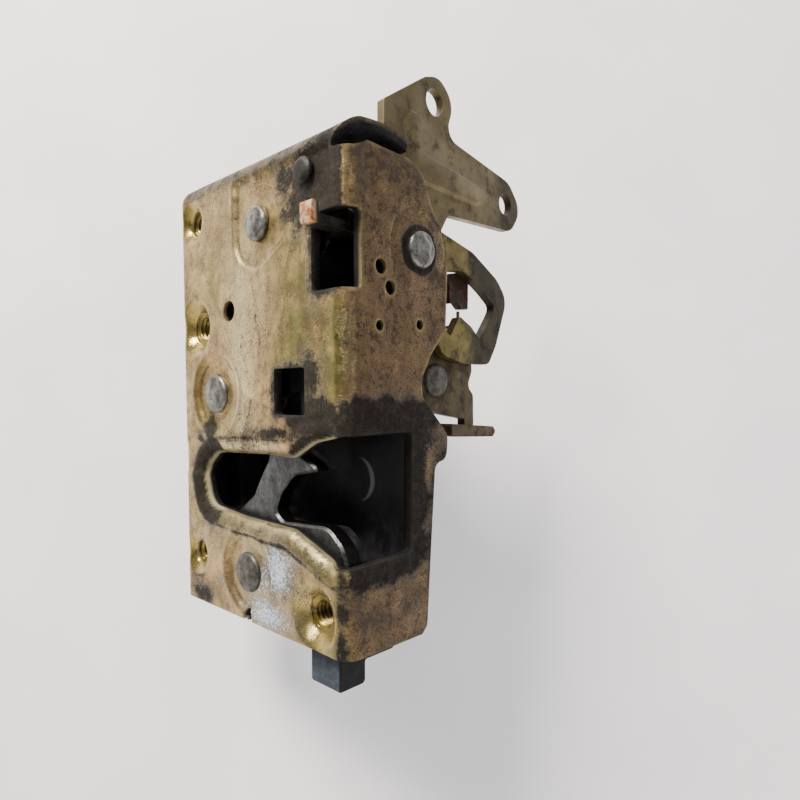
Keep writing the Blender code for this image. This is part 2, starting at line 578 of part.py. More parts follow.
def pawl():
    outline = rounded(moved([
        (-6.6, 0, 3.5), (-5.6, 6.0, 3.5), (3.0, 6.8, 3.0), (24.0, 6.2, 1.0), (29.4, 6.2, 1.0),
        (29.4, -6.0, 1.0),
        (25.6, -6.0, 1.0), (25.4, 0.6, 1.5), (12.0, -1.6, 3.0), (9.2, -7.2, 0.8), (5.6, -8.6, 0.8),
        (-1.0, -7.4, 3.0), (-6.4, -5.4, 3.0)], *PAWL_PIVOT), steps=4)
    bm = bmesh.new()
    add_prism(bm, "Y", outline, MECH_Y, MECH_Y + MECH_T)
    lever = solid("pawl", bm, (PAWL_PIVOT[0], MECH_Y, PAWL_PIVOT[1]), (0.38, 0.38, 0.36), 0.45)
    bm = bmesh.new()
    add_prism(bm, "Y", circle(*PAWL_PIVOT, PIVOT_R + PIVOT_CLEARANCE), MECH_Y - 1, MECH_Y + MECH_T + 1)
    shape(lever, "DIFFERENCE", bm, "pawl_bore")


def lift_lever():
    """Release lever behind the face, with a tab bent forward through the upper window."""
    outline = rounded(moved([
        (-5.4, 2.0, 3.0), (-2.0, 5.6, 3.0), (5.0, 4.6, 3.0), (20.4, 0.6, 2.0), (23.3, -1.4, 1.0),
        (23.3, -5.2, 0.4), (19.8, -5.2, 0.4), (6.0, -4.2, 3.0), (1.2, -6.0, 1.0), (0.4, -14.6, 1.5),
        (-3.6, -14.6, 1.5),
        (-5.4, -4.0, 2.0)], *LIFT_PIVOT), steps=4)
    bm = bmesh.new()
    add_prism(bm, "Y", outline, MECH_Y, MECH_Y + LEVER_T)
    lever = solid("lift_lever", bm, (LIFT_PIVOT[0], MECH_Y, LIFT_PIVOT[1]), (0.46, 0.42, 0.34), 0.45)
    root = MECH_Y + LEVER_T - 0.2
    tab = rounded(moved([(root, -5.0), (-4.4, -5.0, 0.7), (-4.4, -1.2, 0.5), (-2.8, -1.2, 0.5),
                         (-2.8, -3.3, 0.4), (root, -3.3)], 0, LIFT_PIVOT[1]), steps=3)
    bm = bmesh.new()
    add_prism(bm, "X", tab, LIFT_PIVOT[0] + 20.0, LIFT_PIVOT[0] + 23.1)
    shape(lever, "UNION", bm, "lift_lever_tab")
    bm = bmesh.new()
    add_prism(bm, "Y", circle(*LIFT_PIVOT, PIVOT_R + PIVOT_CLEARANCE), MECH_Y - 1, MECH_Y + LEVER_T + 1)
    shape(lever, "DIFFERENCE", bm, "lift_lever_bore")


def rod_lever():
    """Lever above the housing with an eye for each of two rods and an L-shaped pressed bead."""
    bm = bmesh.new()
    add_prism(bm, "X", moved(rod_lever_outline(), *SIDE_PIVOT), *ROD_LEVER_X)
    lever = solid("rod_lever", bm, (ROD_LEVER_X[1], *SIDE_PIVOT), (0.45, 0.42, 0.30), 0.45)
    bead = rounded(moved([(3.2, 27.0, 1.5), (5.6, 30.0, 1.5), (8.0, 28.4, 1.5), (7.6, 22.4, 2.0),
                          (28.8, 19.8, 1.5), (28.4, 16.0, 1.5), (6.4, 16.6, 3.0)], *SIDE_PIVOT), steps=4)
    bm = bmesh.new()
    outer = ROD_LEVER_X[1]
    foot = grown(bead, 0.5)
    add_layers(bm, "X", [(foot, outer - 0.5), (foot, outer), (grown(bead, -0.2), outer + 0.7)])
    shape(lever, "UNION", bm, "rod_lever_bead")
    bm = bmesh.new()
    for y, z, radius in ((12.7, 33.8, ROD_EYE_R), (39.5, 18.6, ROD_EYE_R - 0.25),
                         (0, 0, PIVOT_R + PIVOT_CLEARANCE)):
        hole = circle(SIDE_PIVOT[0] + y, SIDE_PIVOT[1] + z, radius)
        add_prism(bm, "X", hole, ROD_LEVER_X[0] - 1, outer + 1)
    shape(lever, "DIFFERENCE", bm, "rod_lever_holes")


def lock_lever():
    bm = bmesh.new()
    add_prism(bm, "X", moved(lock_lever_outline(), *SIDE_PIVOT), *LOCK_X)
    lever = solid("lock_lever", bm, (LOCK_X[1], *SIDE_PIVOT), (0.45, 0.42, 0.22), 0.45)
    bm = bmesh.new()
    add_prism(bm, "X", moved(lock_window_outline(), *SIDE_PIVOT), LOCK_X[0] - 1, LOCK_X[1] + 1)
    add_prism(bm, "X", circle(*SIDE_PIVOT, PIVOT_R + PIVOT_CLEARANCE), LOCK_X[0] - 1, LOCK_X[1] + 1)
    shape(lever, "DIFFERENCE", bm, "lock_lever_window")


def detent():
    """Copper-coloured detent tab behind the lock lever's window, and its wire spring."""
    tab_x = (BEARING_X[0] + 0.2, BEARING_X[1] - 0.1)
    outline = rounded(moved([(15.4, -8.0), (15.4, -1.6), (19.0, -0.8, 0.4), (22.1, -1.0, 0.4),
                             (22.1, -8.6, 0.4), (19.4, -8.8, 0.4), (17.6, -7.5, 0.4)], *SIDE_PIVOT), steps=3)
    bm = bmesh.new()
    add_prism(bm, "X", outline, *tab_x)
    tab = solid("detent_tab", bm, (tab_x[1], *SIDE_PIVOT), (0.22, 0.10, 0.06), 0.5)
    foot_low = (INNER_X[1] + GAP, SIDE_PIVOT[0] + 11.4, SIDE_PIVOT[1] - 7.4)
    foot_high = (tab_x[0] + 1.0, SIDE_PIVOT[0] + 16.6, SIDE_PIVOT[1] - 3.6)
    bm = bmesh.new()
    add_box(bm, foot_low, foot_high)
    shape(tab, "UNION", bm, "detent_tab_foot")

    x = (tab_x[0] + tab_x[1]) / 2
    y, z = SIDE_PIVOT[0] + 19.4, SIDE_PIVOT[1]
    path = [(x, y, z - 9.2), (x, y, z - 10.4), (x, y, z - 11.4), (x - 1.0, y - 0.6, z - 12.4),
            (x - 2.6, y - 2.4, z - 12.9), (INNER_X[1] + 1.0, y - 6.0, z - 13.0),
            (INNER_X[1] + 1.0, y - 10.0, z - 13.0)]
    bm = bmesh.new()
    add_wire(bm, path, DETENT_WIRE_R, 6)
    solid("detent_wire", bm, (x, y, z), (0.3, 0.3, 0.3), 0.35, smooth=True)


def coil_path(centre, radius, low, high, turns, start=0.0, steps=14):
    """Helix about a Y axis: centre (x, z), from y = low to y = high."""
    count = int(turns * steps)
    return [(centre[0] + radius * math.cos(start + 2 * math.pi * k / steps),
             low + (high - low) * k / count,
             centre[1] + radius * math.sin(start + 2 * math.pi * k / steps)) for k in range(count + 1)]


def springs():
    """Torsion springs on the three pivots that run between the face and the back plate."""
    wire = (0.28, 0.27, 0.25)
    low = MECH_Y + MECH_T + GAP + JACKET_T + GAP + WIRE_R
    high = BACK_Y - 2 * WIRE_R - GAP
    path = coil_path(CLAW_PIVOT, CLAW_COIL_R, low, high, 3.5, math.radians(90))
    foot_z = BOTTOM + 0.6
    path += [(path[-1][0], high, foot_z + 2.0), (path[-1][0], high - 0.4, foot_z + 0.6),
             (path[-1][0], high - 1.6, foot_z), (CLAW_PIVOT[0], 6.0, foot_z), (CLAW_PIVOT[0], 0.2, foot_z)]
    bm = bmesh.new()
    add_wire(bm, path, WIRE_R, 6)
    solid("claw_spring", bm, (CLAW_PIVOT[0], low, CLAW_PIVOT[1]), wire, 0.35, smooth=True)

    low = MECH_Y + MECH_T + GAP + WIRE_R
    path = coil_path(PAWL_PIVOT, PAWL_COIL_R, low, high, 4.25, math.radians(0))
    path += [(path[-1][0] - 5.0, high, path[-1][2]), (LEFT + SHEET + 2.0, high, path[-1][2])]
    bm = bmesh.new()
    add_wire(bm, path, WIRE_R, 6)
    solid("pawl_spring", bm, (PAWL_PIVOT[0], low, PAWL_PIVOT[1]), wire, 0.35, smooth=True)

    low = MECH_Y + LEVER_T + GAP + WIRE_R
    path = coil_path(LIFT_PIVOT, LIFT_COIL_R, low, high, 4.25, math.radians(0))
    path += [(path[-1][0] - 5.0, high, path[-1][2]), (path[-1][0] - 10.0, high, path[-1][2])]
    bm = bmesh.new()
    add_wire(bm, path, WIRE_R, 6)
    solid("lift_spring", bm, (LIFT_PIVOT[0], low, LIFT_PIVOT[1]), wire, 0.35, smooth=True)


def mouldings():
    """Rubber striker buffer at the end of the mouth, and the plastic block under the corner."""
    bm = bmesh.new()
    buffer_y = MECH_Y + MECH_T + GAP + JACKET_T + 0.6
    block = rounded(moved([(0.4, 20.5, 1.0), (6.6, 20.5, 2.0), (5.4, 29.0, 6.0), (6.6, 37.5, 2.0),
                           (0.4, 37.5, 1.0)], LEFT + SHEET, BOTTOM))
    add_prism(bm, "Y", block, buffer_y, BACK_Y - GAP)
    solid("striker_buffer", bm, (LEFT + SHEET, buffer_y, BOTTOM + 29.0), (0.04, 0.04, 0.04), 0.8, 0.0)

    front, back = SHEET + GAP + 0.3, BACK_Y - 0.4
    section = rounded(moved([(front, -8.0, 0.6), (9.4, -8.0, 0.8), (9.4, -3.4, 0.5), (back, -3.4, 0.5),
                             (back, 0.9, 0.3), (front, 0.9, 0.3)], 0, BOTTOM), steps=3)
    bm = bmesh.new()
    add_prism(bm, "X", section, CORNER - 13.4, CORNER - 5.0)
    solid("corner_block", bm, (CORNER - 9.2, 6.0, BOTTOM), (0.05, 0.05, 0.055), 0.7, 0.0)


def washers():
    """Thin washers on the claw and pawl shanks, between the moving plates and the face."""
    for name, centre in (("claw_washer", CLAW_PIVOT), ("pawl_washer", PAWL_PIVOT)):
        bm = bmesh.new()
        front = SHEET + GAP
        back = MECH_Y - GAP
        inner = PIVOT_R + PIVOT_CLEARANCE
        add_ring(bm, "Y", centre, [(inner, front), (6.2, front), (6.2, back), (inner, back)], 24)
        solid(name, bm, (centre[0], front, centre[1]), (0.4, 0.38, 0.3), 0.4, smooth=True)


def main():
    for obj in list(bpy.data.objects):
        bpy.data.objects.remove(obj, do_unlink=True)
    housing()
    back_plate()
    inner_bearing_plate()
    bearing_plate()
    rivets()
    bushes()
    claw()
    pawl()
    lift_lever()
    rod_lever()
    lock_lever()
    detent()
    springs()
    mouldings()
    washers()


main()
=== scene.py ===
"""Looks for the rotary door latch: a pressed, yellow-chromated housing with greasy steel levers."""

import json
import math

import bmesh
import bpy
import numpy as np
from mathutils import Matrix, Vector


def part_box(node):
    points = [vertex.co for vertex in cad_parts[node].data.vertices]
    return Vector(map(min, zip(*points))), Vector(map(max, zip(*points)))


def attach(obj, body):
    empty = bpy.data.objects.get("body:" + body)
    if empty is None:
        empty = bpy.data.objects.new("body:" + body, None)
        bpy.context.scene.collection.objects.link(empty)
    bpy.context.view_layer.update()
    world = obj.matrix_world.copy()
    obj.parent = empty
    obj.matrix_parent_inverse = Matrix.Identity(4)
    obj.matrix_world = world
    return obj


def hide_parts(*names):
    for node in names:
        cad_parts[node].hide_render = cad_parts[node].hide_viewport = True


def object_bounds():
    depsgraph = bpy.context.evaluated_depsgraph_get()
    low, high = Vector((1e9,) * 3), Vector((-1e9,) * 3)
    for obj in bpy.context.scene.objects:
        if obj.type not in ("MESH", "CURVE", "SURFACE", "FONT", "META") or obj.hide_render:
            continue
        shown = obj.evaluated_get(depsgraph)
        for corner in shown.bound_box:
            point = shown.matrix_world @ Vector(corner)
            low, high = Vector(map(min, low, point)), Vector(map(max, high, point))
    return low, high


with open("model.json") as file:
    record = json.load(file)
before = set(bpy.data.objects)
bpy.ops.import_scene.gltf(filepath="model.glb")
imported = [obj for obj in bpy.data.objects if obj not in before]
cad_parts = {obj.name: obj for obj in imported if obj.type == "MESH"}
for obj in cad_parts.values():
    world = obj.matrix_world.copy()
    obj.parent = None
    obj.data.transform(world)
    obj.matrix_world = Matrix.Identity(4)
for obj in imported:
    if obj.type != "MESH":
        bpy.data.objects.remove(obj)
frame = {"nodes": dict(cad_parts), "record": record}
cad_low, cad_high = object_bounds()

# ---- Sizes, in millimetres ----------------------------------------------------------------------
MM = 0.001
SHEET = 2.0                       # housing sheet
CORNER_R = 3.2                    # bend between face and side
EDGE_R = 2.6                      # bend of the left flange
TOP_R = 4.2                       # bend of the top flange
FLANGE_RISE = 0.9                 # the flange's top above the highest line of the face's holes
TOP_FLANGE_DEPTH = 16.2
LEFT_FLANGE_DEPTH = 12.0
RECESS_R = 7.3                    # pressed recess round the claw's and the pawl's pivots
LARGE_SINK_R, SMALL_SINK_R = 6.5, 4.9     # countersinks of the screw holes and the guide holes
SCREW_HOLE_R, GUIDE_HOLE_R = 3.5, 2.5
RIVET_HOLE_R, STUD_HOLE_R = 3.2, 1.9
SHANK_R, TAIL_R, TAIL_HEAD_R = 2.9, 2.0, 3.3
HEAD_DEPTH, CROWN_DEPTH = 1.5, 1.15
THREAD_PITCH, THREAD_DEPTH = 1.0, 0.55
AXIS_R = 1e-5                     # start of a turned profile, merged into one pole afterwards

house_low, house_high = (np.array(c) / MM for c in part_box("housing"))
LEFT, CORNER = house_low[0], house_high[0]
BOTTOM, FLANGE_TOP = house_low[2], house_high[2]
TOP = FLANGE_TOP - FLANGE_RISE


def centre_of(node, u=0, v=2):
    """Centre of a node's box on two axes, in millimetres."""
    low, high = (np.array(c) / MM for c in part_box(node))
    middle = (low + high) / 2
    return middle[u], middle[v]


CLAW_PIVOT = centre_of("claw_pivot_rivet")
PAWL_PIVOT = centre_of("pawl_pivot_rivet")
LIFT_PIVOT = centre_of("lift_pivot_rivet")
STUD = centre_of("stop_stud")
SIDE_PIVOT = centre_of("side_pivot_rivet", 1, 2)
SCREW_HOLES = [centre_of("screw_bush_left"), centre_of("screw_bush_right")]
GUIDE_HOLES = [centre_of("guide_bush_top"), centre_of("guide_bush_bottom")]


# ---- Outlines and distances -------------------------------------------------------------------
def moved(points, du, dv):
    """An outline shifted by (du, dv)."""
    return [(p[0] + du, p[1] + dv) + tuple(p[2:]) for p in points]


def rounded(points, steps=8):
    """An outline whose (u, v, radius) corners are arcs that touch both of their sides."""
    out = []
    for i, point in enumerate(points):
        here = np.array(point[:2], float)
        radius = point[2] if len(point) > 2 else 0.0
        back = np.array(points[i - 1][:2], float) - here
        ahead = np.array(points[(i + 1) % len(points)][:2], float) - here
        long_back, long_ahead = np.linalg.norm(back), np.linalg.norm(ahead)
        back, ahead = back / long_back, ahead / long_ahead
        half = math.acos(float(np.clip(back @ ahead, -1, 1))) / 2
        if radius <= 0.0 or half > math.radians(89.0):
            out.append(tuple(here))
            continue
        reach = min(radius / math.tan(half), 0.49 * long_back, 0.49 * long_ahead)
        radius = reach * math.tan(half)
        middle = (back + ahead) / np.linalg.norm(back + ahead)
        centre = here + middle * radius / math.sin(half)
        start, end = here + back * reach - centre, here + ahead * reach - centre
        turn = math.atan2(start[0] * end[1] - start[1] * end[0], start @ end)
        for a in np.linspace(0.0, turn, steps + 1):
            out.append((centre[0] + start[0] * math.cos(a) - start[1] * math.sin(a),
                        centre[1] + start[0] * math.sin(a) + start[1] * math.cos(a)))
    return out


def inside_distance(outline, u, v):
    """Signed distance to a closed outline, positive inside, for whole arrays of points."""
    shape = np.shape(u)
    points = np.stack([np.ravel(u), np.ravel(v)], 1)
    a = np.array(outline, float)
    b = np.roll(a, -1, axis=0)
    nearest = np.full(len(points), 1e9)
    crossings = np.zeros(len(points), bool)
    for p, q in zip(a, b):
        edge = q - p
        share = np.clip(((points - p) @ edge) / max(edge @ edge, 1e-12), 0, 1)
        nearest = np.minimum(nearest, np.linalg.norm(points - p - share[:, None] * edge, axis=1))
        above = (p[1] > points[:, 1]) != (q[1] > points[:, 1])
        with np.errstate(divide="ignore", invalid="ignore"):
            cross_u = p[0] + (points[:, 1] - p[1]) * edge[0] / edge[1]
        crossings ^= above & (points[:, 0] < cross_u)
    return np.where(crossings, nearest, -nearest).reshape(shape)


def ramp(value, start, end):
    """Smooth step from 0 at start to 1 at end."""
    t = np.clip((value - start) / (end - start), 0, 1)
    return t * t * (3 - 2 * t)


def band(distance, at, width):
    """Soft line: a Gaussian of the distance from a curve, one at its middle."""
    return np.exp(-((distance - at) / width) ** 2)


def waves(u, v, size, seed, count=7):
    """Gentle random waviness from -1 to 1: sines in seeded directions at about one wavelength."""
    draw = np.random.default_rng(seed)
    total = np.zeros(np.shape(u))
    for _ in range(count):
        angle, phase = draw.uniform(0, 2 * math.pi, 2)
        length = size * draw.uniform(0.7, 1.5)
        total += np.sin(2 * math.pi * (u * math.cos(angle) + v * math.sin(angle)) / length + phase)
    return total / count


# ---- Meshes -------------------------------------------------------------------------------------
def new_mesh(name, verts, faces):
    """An object at the origin from points in millimetres and lists of corner numbers."""
    mesh = bpy.data.meshes.new(name)
    mesh.from_pydata((np.asarray(verts) * MM).tolist(), [], [list(f) for f in faces])
    mesh.update()
    obj = bpy.data.objects.new(name, mesh)
    bpy.context.scene.collection.objects.link(obj)
    return obj


def finish_piece(obj, body, slot, finish, *nodes):
    """Give a piece its material and body, and let it stand for CAD nodes, which it hides; the slot is not
    used.
    """
    obj.data.materials.clear()
    obj.data.materials.append(finish)
    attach(obj, body)
    if nodes:
        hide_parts(*nodes)
    return obj


def body_of_node(node):
    """The rigid body that a CAD node belongs to."""
    groups = frame["record"]["behaviour"]["bodies"]
    return next(body for body, members in groups.items() if node in members)


def slot_of_node(node):
    """The material slot that the record gives a CAD node."""
    return next(s["material_slot"] for s in frame["record"]["subparts"] if s["node"] == node)


def refined(node, finish, width):
    """A merged copy of a CAD node with its edges rounded over width mm, which stands for the node."""
    mesh = frame["nodes"][node].data.copy()
    mesh.name = node + "_finished"
    bm = bmesh.new()
    bm.from_mesh(mesh)
    bmesh.ops.remove_doubles(bm, verts=bm.verts, dist=2e-6)
    bmesh.ops.dissolve_limit(bm, angle_limit=math.radians(0.6), verts=bm.verts, edges=bm.edges)
    bm.to_mesh(mesh)
    bm.free()
    obj = bpy.data.objects.new(node + "_finished", mesh)
    bpy.context.scene.collection.objects.link(obj)
    if width > 0:
        bevel = obj.modifiers.new("edges", "BEVEL")
        bevel.width = width * MM
        bevel.segments = 3
        bevel.limit_method = "ANGLE"
        bevel.angle_limit = math.radians(32)
        bevel.use_clamp_overlap = True
    mesh.shade_smooth()
    mesh.set_sharp_from_angle(angle=math.radians(50))
    return finish_piece(obj, body_of_node(node), slot_of_node(node), finish, node)


def turned_grid(profile, centre, axis, sides, wobble=None):
    """Surface of revolution: ring k has radius and height from the profile, and each point of a ring
    lies at an even angle about the axis; wobble(angle, radius, height) moves points along the axis."""
    profile = np.array(profile, float)
    angle = np.linspace(0, 2 * math.pi, sides, endpoint=False)
    radius, turn = np.meshgrid(profile[:, 0], angle, indexing="ij")
    height = np.repeat(profile[:, 1:2], sides, axis=1)
    if wobble is not None:
        height = height + wobble(turn, radius, height)
    u = centre[0] + radius * np.cos(turn)
    v = centre[1] + radius * np.sin(turn)
    order = {"X": (height, u, v), "Y": (u, height, v)}[axis]
    return np.stack(order, -1)


def skin(grid, wrap=False):
    """Quads over a grid of points; wrap closes the first direction on itself too."""
    rows, cols = grid.shape[:2]
    number = np.arange(rows * cols).reshape(rows, cols)
    after = np.roll(number, -1, axis=0) if wrap else number[1:]
    first = number if wrap else number[:-1]
    side = np.roll(first, -1, axis=1), np.roll(after, -1, axis=1)
    return grid.reshape(-1, 3), np.stack([first, after, side[1], side[0]], -1).reshape(-1, 4)


def closed(obj):
    """Merge poles and seams, turn faces outwards and shade smooth."""
    bm = bmesh.new()
    bm.from_mesh(obj.data)
    bmesh.ops.remove_doubles(bm, verts=bm.verts, dist=1e-6)
    bmesh.ops.recalc_face_normals(bm, faces=bm.faces)
    bm.to_mesh(obj.data)
    bm.free()
    obj.data.shade_smooth()
    obj.data.set_sharp_from_angle(angle=math.radians(40))
    return obj


# ---- Housing ------------------------------------------------------------------------------------
FACE_LEFT = LEFT + EDGE_R                       # flat part of the face, between its bends
FACE_RIGHT = CORNER - CORNER_R
BEND_END = FACE_RIGHT + CORNER_R * math.pi / 2     # developed place where the side plate starts
LEFT_END = FACE_LEFT - EDGE_R * math.pi / 2
TOP_BEND = FLANGE_TOP - TOP_R
FLANGE_END = TOP_BEND + TOP_R * (math.pi / 2 - 1) + TOP_FLANGE_DEPTH
RELIEF = TOP - 3.5                # the corner is slit here, so that flange and side bend freely


def on_side(y):
    """Developed place of depth y on the side plate."""
    return BEND_END + y - CORNER_R


def wrap_sheet(s, v):
    """Place of a point of the developed sheet: s runs round the bends from the left flange over the
    face to the side plate, v runs up the face and back over the top flange. Above the corner relief
    the flange keeps straight on instead of following the corner bend."""
    flange = (v > RELIEF) & (s < CORNER + 1.0)
    right = np.where(flange, 0.0, np.clip((s - FACE_RIGHT) / CORNER_R, 0, math.pi / 2))
    left = np.clip((FACE_LEFT - s) / EDGE_R, 0, math.pi / 2)
    x = np.where(flange, np.maximum(s, FACE_LEFT), np.clip(s, FACE_LEFT, FACE_RIGHT))
    x = x + CORNER_R * np.sin(right) - EDGE_R * np.sin(left)
    y = CORNER_R * (1 - np.cos(right)) + EDGE_R * (1 - np.cos(left))
    y = y + np.where(flange, 0.0, np.maximum(s - BEND_END, 0)) + np.maximum(LEFT_END - s, 0)
    v_top = np.where(s > CORNER + 1.0, TOP_BEND, v)
    up = np.clip((v_top - TOP_BEND) / TOP_R, 0, math.pi / 2)
    back = np.maximum(v_top - TOP_BEND - TOP_R * math.pi / 2, 0)
    z = np.where(s > CORNER + 1.0, v, np.minimum(v, TOP_BEND) + TOP_R * np.sin(up))
    y = y + TOP_R * (1 - np.cos(up)) + back
    z = z + (0.16 * back - 0.019 * back * back) * (back > 0)
    return np.stack([x, y, z], -1)


def housing_outline():
    """Cut edge of the developed sheet: left flange, top flange, corner relief and side plate."""
    side = [(3.9, TOP - 3.4, 1.5), (5.2, TOP - 2.7, 1.0), (16.0, TOP - 3.0, 1.0), (19.6, TOP - 4.6, 2.0),
            (22.9, TOP - 10.8, 3.0), (25.9, TOP - 14.6, 2.0), (27.6, TOP - 22.0, 4.0),
            (27.2, TOP - 34.0, 2.0), (22.6, TOP - 39.0, 3.0), (19.8, TOP - 44.0, 3.0),
            (20.2, TOP - 47.4, 2.0), (28.2, TOP - 55.0, 3.0), (27.8, TOP - 60.0, 2.0),
            (24.2, TOP - 60.8, 2.0), (23.2, BOTTOM + 20.0), (22.0, BOTTOM + 1.5, 1.2), (20.5, BOTTOM)]
    left = LEFT_END - LEFT_FLANGE_DEPTH + EDGE_R
    return rounded([(left, BOTTOM, 1.5), (left, TOP_BEND - 0.4, 1.5), (FACE_LEFT - 1.0, TOP_BEND - 0.4, 0.5),
                    (FACE_LEFT - 0.6, FLANGE_END, 1.5), (CORNER, FLANGE_END, 0.6),
                    (CORNER, RELIEF + 6.0, 3.0),
                    (FACE_RIGHT - 0.6, RELIEF + 0.3, 0.5), (FACE_RIGHT - 0.6, RELIEF - 0.9, 0.6),
                    (CORNER + 0.8, RELIEF - 0.7, 1.0)] + [(on_side(p[0]),) + p[1:] for p in side])


def mouth_outline():
    """Striker mouth, from the face round the corner into the side plate."""
    face = moved([(-11.5, 39.0, 6.0), (-18.0, 35.6, 5.0), (-25.0, 35.9, 6.0),
                  (-46.0, 35.2, 4.0), (-51.0, 31.5, 3.5), (-48.4, 23.0, 4.0), (-34.5, 21.8, 6.0),
                  (-17.5, 21.5, 6.0), (-4.2, 16.6, 2.5)], CORNER, BOTTOM)
    side = [(on_side(17.3), BOTTOM + 17.3, 1.0), (on_side(17.3), BOTTOM + 41.0, 1.0),
            (CORNER - 3.3, BOTTOM + 40.6, 1.5)]
    return rounded(face + side)


def tongue_outline():
    """Tongue-shaped recess round the lift lever's pivot."""
    return rounded(moved([(-34.6, -3.2, 1.0), (-34.6, -19.0, 6.0), (-27.5, -22.0, 5.0), (-12.7, -14.1, 1.5),
                          (-10.4, -12.6, 1.0), (-4.6, -12.6, 1.0), (-4.6, -3.2, 1.0)], CORNER, TOP))


def window_outline():
    """Upper window, which the lift lever's tab comes out of."""
    return rounded([(CORNER - 9.3, TOP - 28.3, 0.8), (on_side(3.8), TOP - 28.3, 0.5),
                    (on_side(3.8), TOP - 14.5, 0.5), (CORNER - 9.3, TOP - 14.5, 0.8)])


def square_outline():
    """Window over the pawl."""
    return rounded(moved([(-21.2, 44.2, 0.6), (-11.6, 44.2, 0.6), (-11.6, 53.2, 0.6), (-21.2, 53.2, 0.6)],
                         CORNER, BOTTOM))


def notch_outline():
    """Notch of the bottom edge, where the claw spring ends."""
    return rounded(moved([(-1.6, -2.0), (1.6, -2.0), (1.6, 2.6, 1.5), (-1.6, 2.6, 1.5)],
                         CLAW_PIVOT[0], BOTTOM))


TOOLING_HOLES = ((8.6, -23.8, 1.4), (11.1, -27.3, 1.35), (8.3, -34.4, 1.0), (19.3, -33.4, 1.0))
ROUND_HOLES = ([(c, SCREW_HOLE_R) for c in SCREW_HOLES] + [(c, GUIDE_HOLE_R) for c in GUIDE_HOLES]
               + [(c, RIVET_HOLE_R) for c in (CLAW_PIVOT, PAWL_PIVOT, LIFT_PIVOT)] + [(STUD, STUD_HOLE_R)]
               + [((CORNER - 37.2, TOP - 29.1), 2.2)]
               + [((on_side(y), TOP + z), r) for y, z, r in TOOLING_HOLES]
               + [((on_side(SIDE_PIVOT[0]), SIDE_PIVOT[1]), RIVET_HOLE_R)])


def sheet_margin(s, v):
    """Distance inwards from the nearest cut edge of the developed sheet, negative in its openings."""
    margin = inside_distance(housing_outline(), s, v)
    for outline in (mouth_outline(), window_outline(), square_outline(), notch_outline()):
        margin = np.minimum(margin, -inside_distance(outline, s, v))
    for centre, radius in ROUND_HOLES:
        margin = np.minimum(margin, np.hypot(s - centre[0], v - centre[1]) - radius)
    return margin


def pressed_depth(s, v):
    """How far the press tool pushed the sheet inwards at each point: stepped recesses round the pivots,
    cones at the countersinks, a curled lip round the mouth, and a slight unevenness."""
    face = ramp(s, LEFT_END, FACE_LEFT + 1.0) * (1 - ramp(s, CORNER - 7.0, CORNER - 2.0))
    depth = np.zeros(np.shape(s))
    for centre in (CLAW_PIVOT, PAWL_PIVOT):
        r = np.hypot(s - centre[0], v - centre[1])
        depth += 0.9 * (1 - ramp(r, RECESS_R, RECESS_R + 1.6)) - 0.14 * band(r, RECESS_R + 2.3, 0.6)
        depth -= 0.35 * (1 - ramp(r, 4.6, 5.4))
    depth += 0.75 * ramp(inside_distance(tongue_outline(), s, v), -0.7, 0.6)
    for centres, outer, inner, drop in ((SCREW_HOLES, LARGE_SINK_R, SCREW_HOLE_R, 2.3),
                                        (GUIDE_HOLES, SMALL_SINK_R, GUIDE_HOLE_R, 1.5)):
        for centre in centres:
            r = np.hypot(s - centre[0], v - centre[1])
            cone = np.clip((outer - r) / (outer - inner), 0, 1.1)
            depth += drop * (cone - 0.10 * np.sin(math.pi * np.clip(cone, 0, 1)))
    lip = -inside_distance(mouth_outline(), s, v)
    depth += face * (1.7 * np.clip(1 - lip / 2.3, 0, 1) ** 2 - 0.30 * band(lip, 3.0, 0.8))
    shoulder = rounded(moved([(-58, 37.0), (-48, 38.6, 4.0), (-24, 39.6, 6.0), (-14, 43.5, 5.0),
                              (2, 45.5), (2, 30), (-58, 30)], CORNER, BOTTOM))
    depth += 0.6 * ramp(inside_distance(shoulder, s, v), -0.5, 1.0) * face
    ring = np.hypot(s - on_side(SIDE_PIVOT[0]), v - SIDE_PIVOT[1])
    depth += 0.15 * band(ring, 7.8, 0.35)
    return depth + face * (0.10 + 0.07 * waves(s, v, 26.0, 3) + 0.02 * waves(s, v, 7.0, 5))


# Stains on the developed sheet, and patches of painted sheen. Each is a soft oval: its place across and up
# from the bottom corner, its reach across and up, and its strength.
GREASE = ((-46, 41, 4.0, 5.0, 0.8), (-45, 20, 10.0, 5.0, 0.42), (-22, 40.5, 12.0, 2.2, 0.72),
          (-17, 88, 9.0, 6.0, 0.7), (-10, 44, 11.0, 5.0, 1.0), (-10, 51, 6.0, 8.0, 0.74),
          (-50, 38, 5.0, 3.0, 0.55), (-9, 66, 4.0, 6.0, 0.5), (-4, 40, 10.0, 6.0, 1.0),
          (-52, 5, 5.0, 5.0, 0.55), (-40, 8, 3.0, 7.0, 0.4), (-27, 76, 2.0, 9.0, 0.35))
FACE_GREASE = ((-50, 2, 7.0, 3.0, 0.8), (-8, 86, 12.0, 11.0, 1.05))
SIDE_GREASE = ((0, 44, 40.0, 5.0, 0.95),)
SPECKS = ((-28, 60, 10.0, 8.0, 0.55), (-34, 38, 12.0, 3.0, 0.8), (-20, 12, 12.0, 8.0, 0.7),
          (-6, 60, 4.0, 12.0, 0.5))
SIDE_SPECKS = ((5, 8, 30.0, 8.0, 0.95),)
OLIVE = ((-14, 62, 7.0, 14.0, 1.2), (-3, 54, 4.0, 18.0, 1.3), (-52, 48, 9.0, 40.0, 0.35),
         (-8, 18, 7.0, 3.5, 1.1), (-44, 76, 8.0, 14.0, 0.4))
# Painted sheen and highlight: pale cream ovals where the face and the mouth's upper lip catch the light.
SHEEN_OVALS = ((-36, 37.3, 13.0, 1.5, 0.9), (-31, 66, 8.0, 9.0, 0.45), (-30, 14, 8.0, 8.0, 0.4))
UPPER_SHEEN_OVALS = ((-33, 58, 5.0, 26.0, 0.7),)
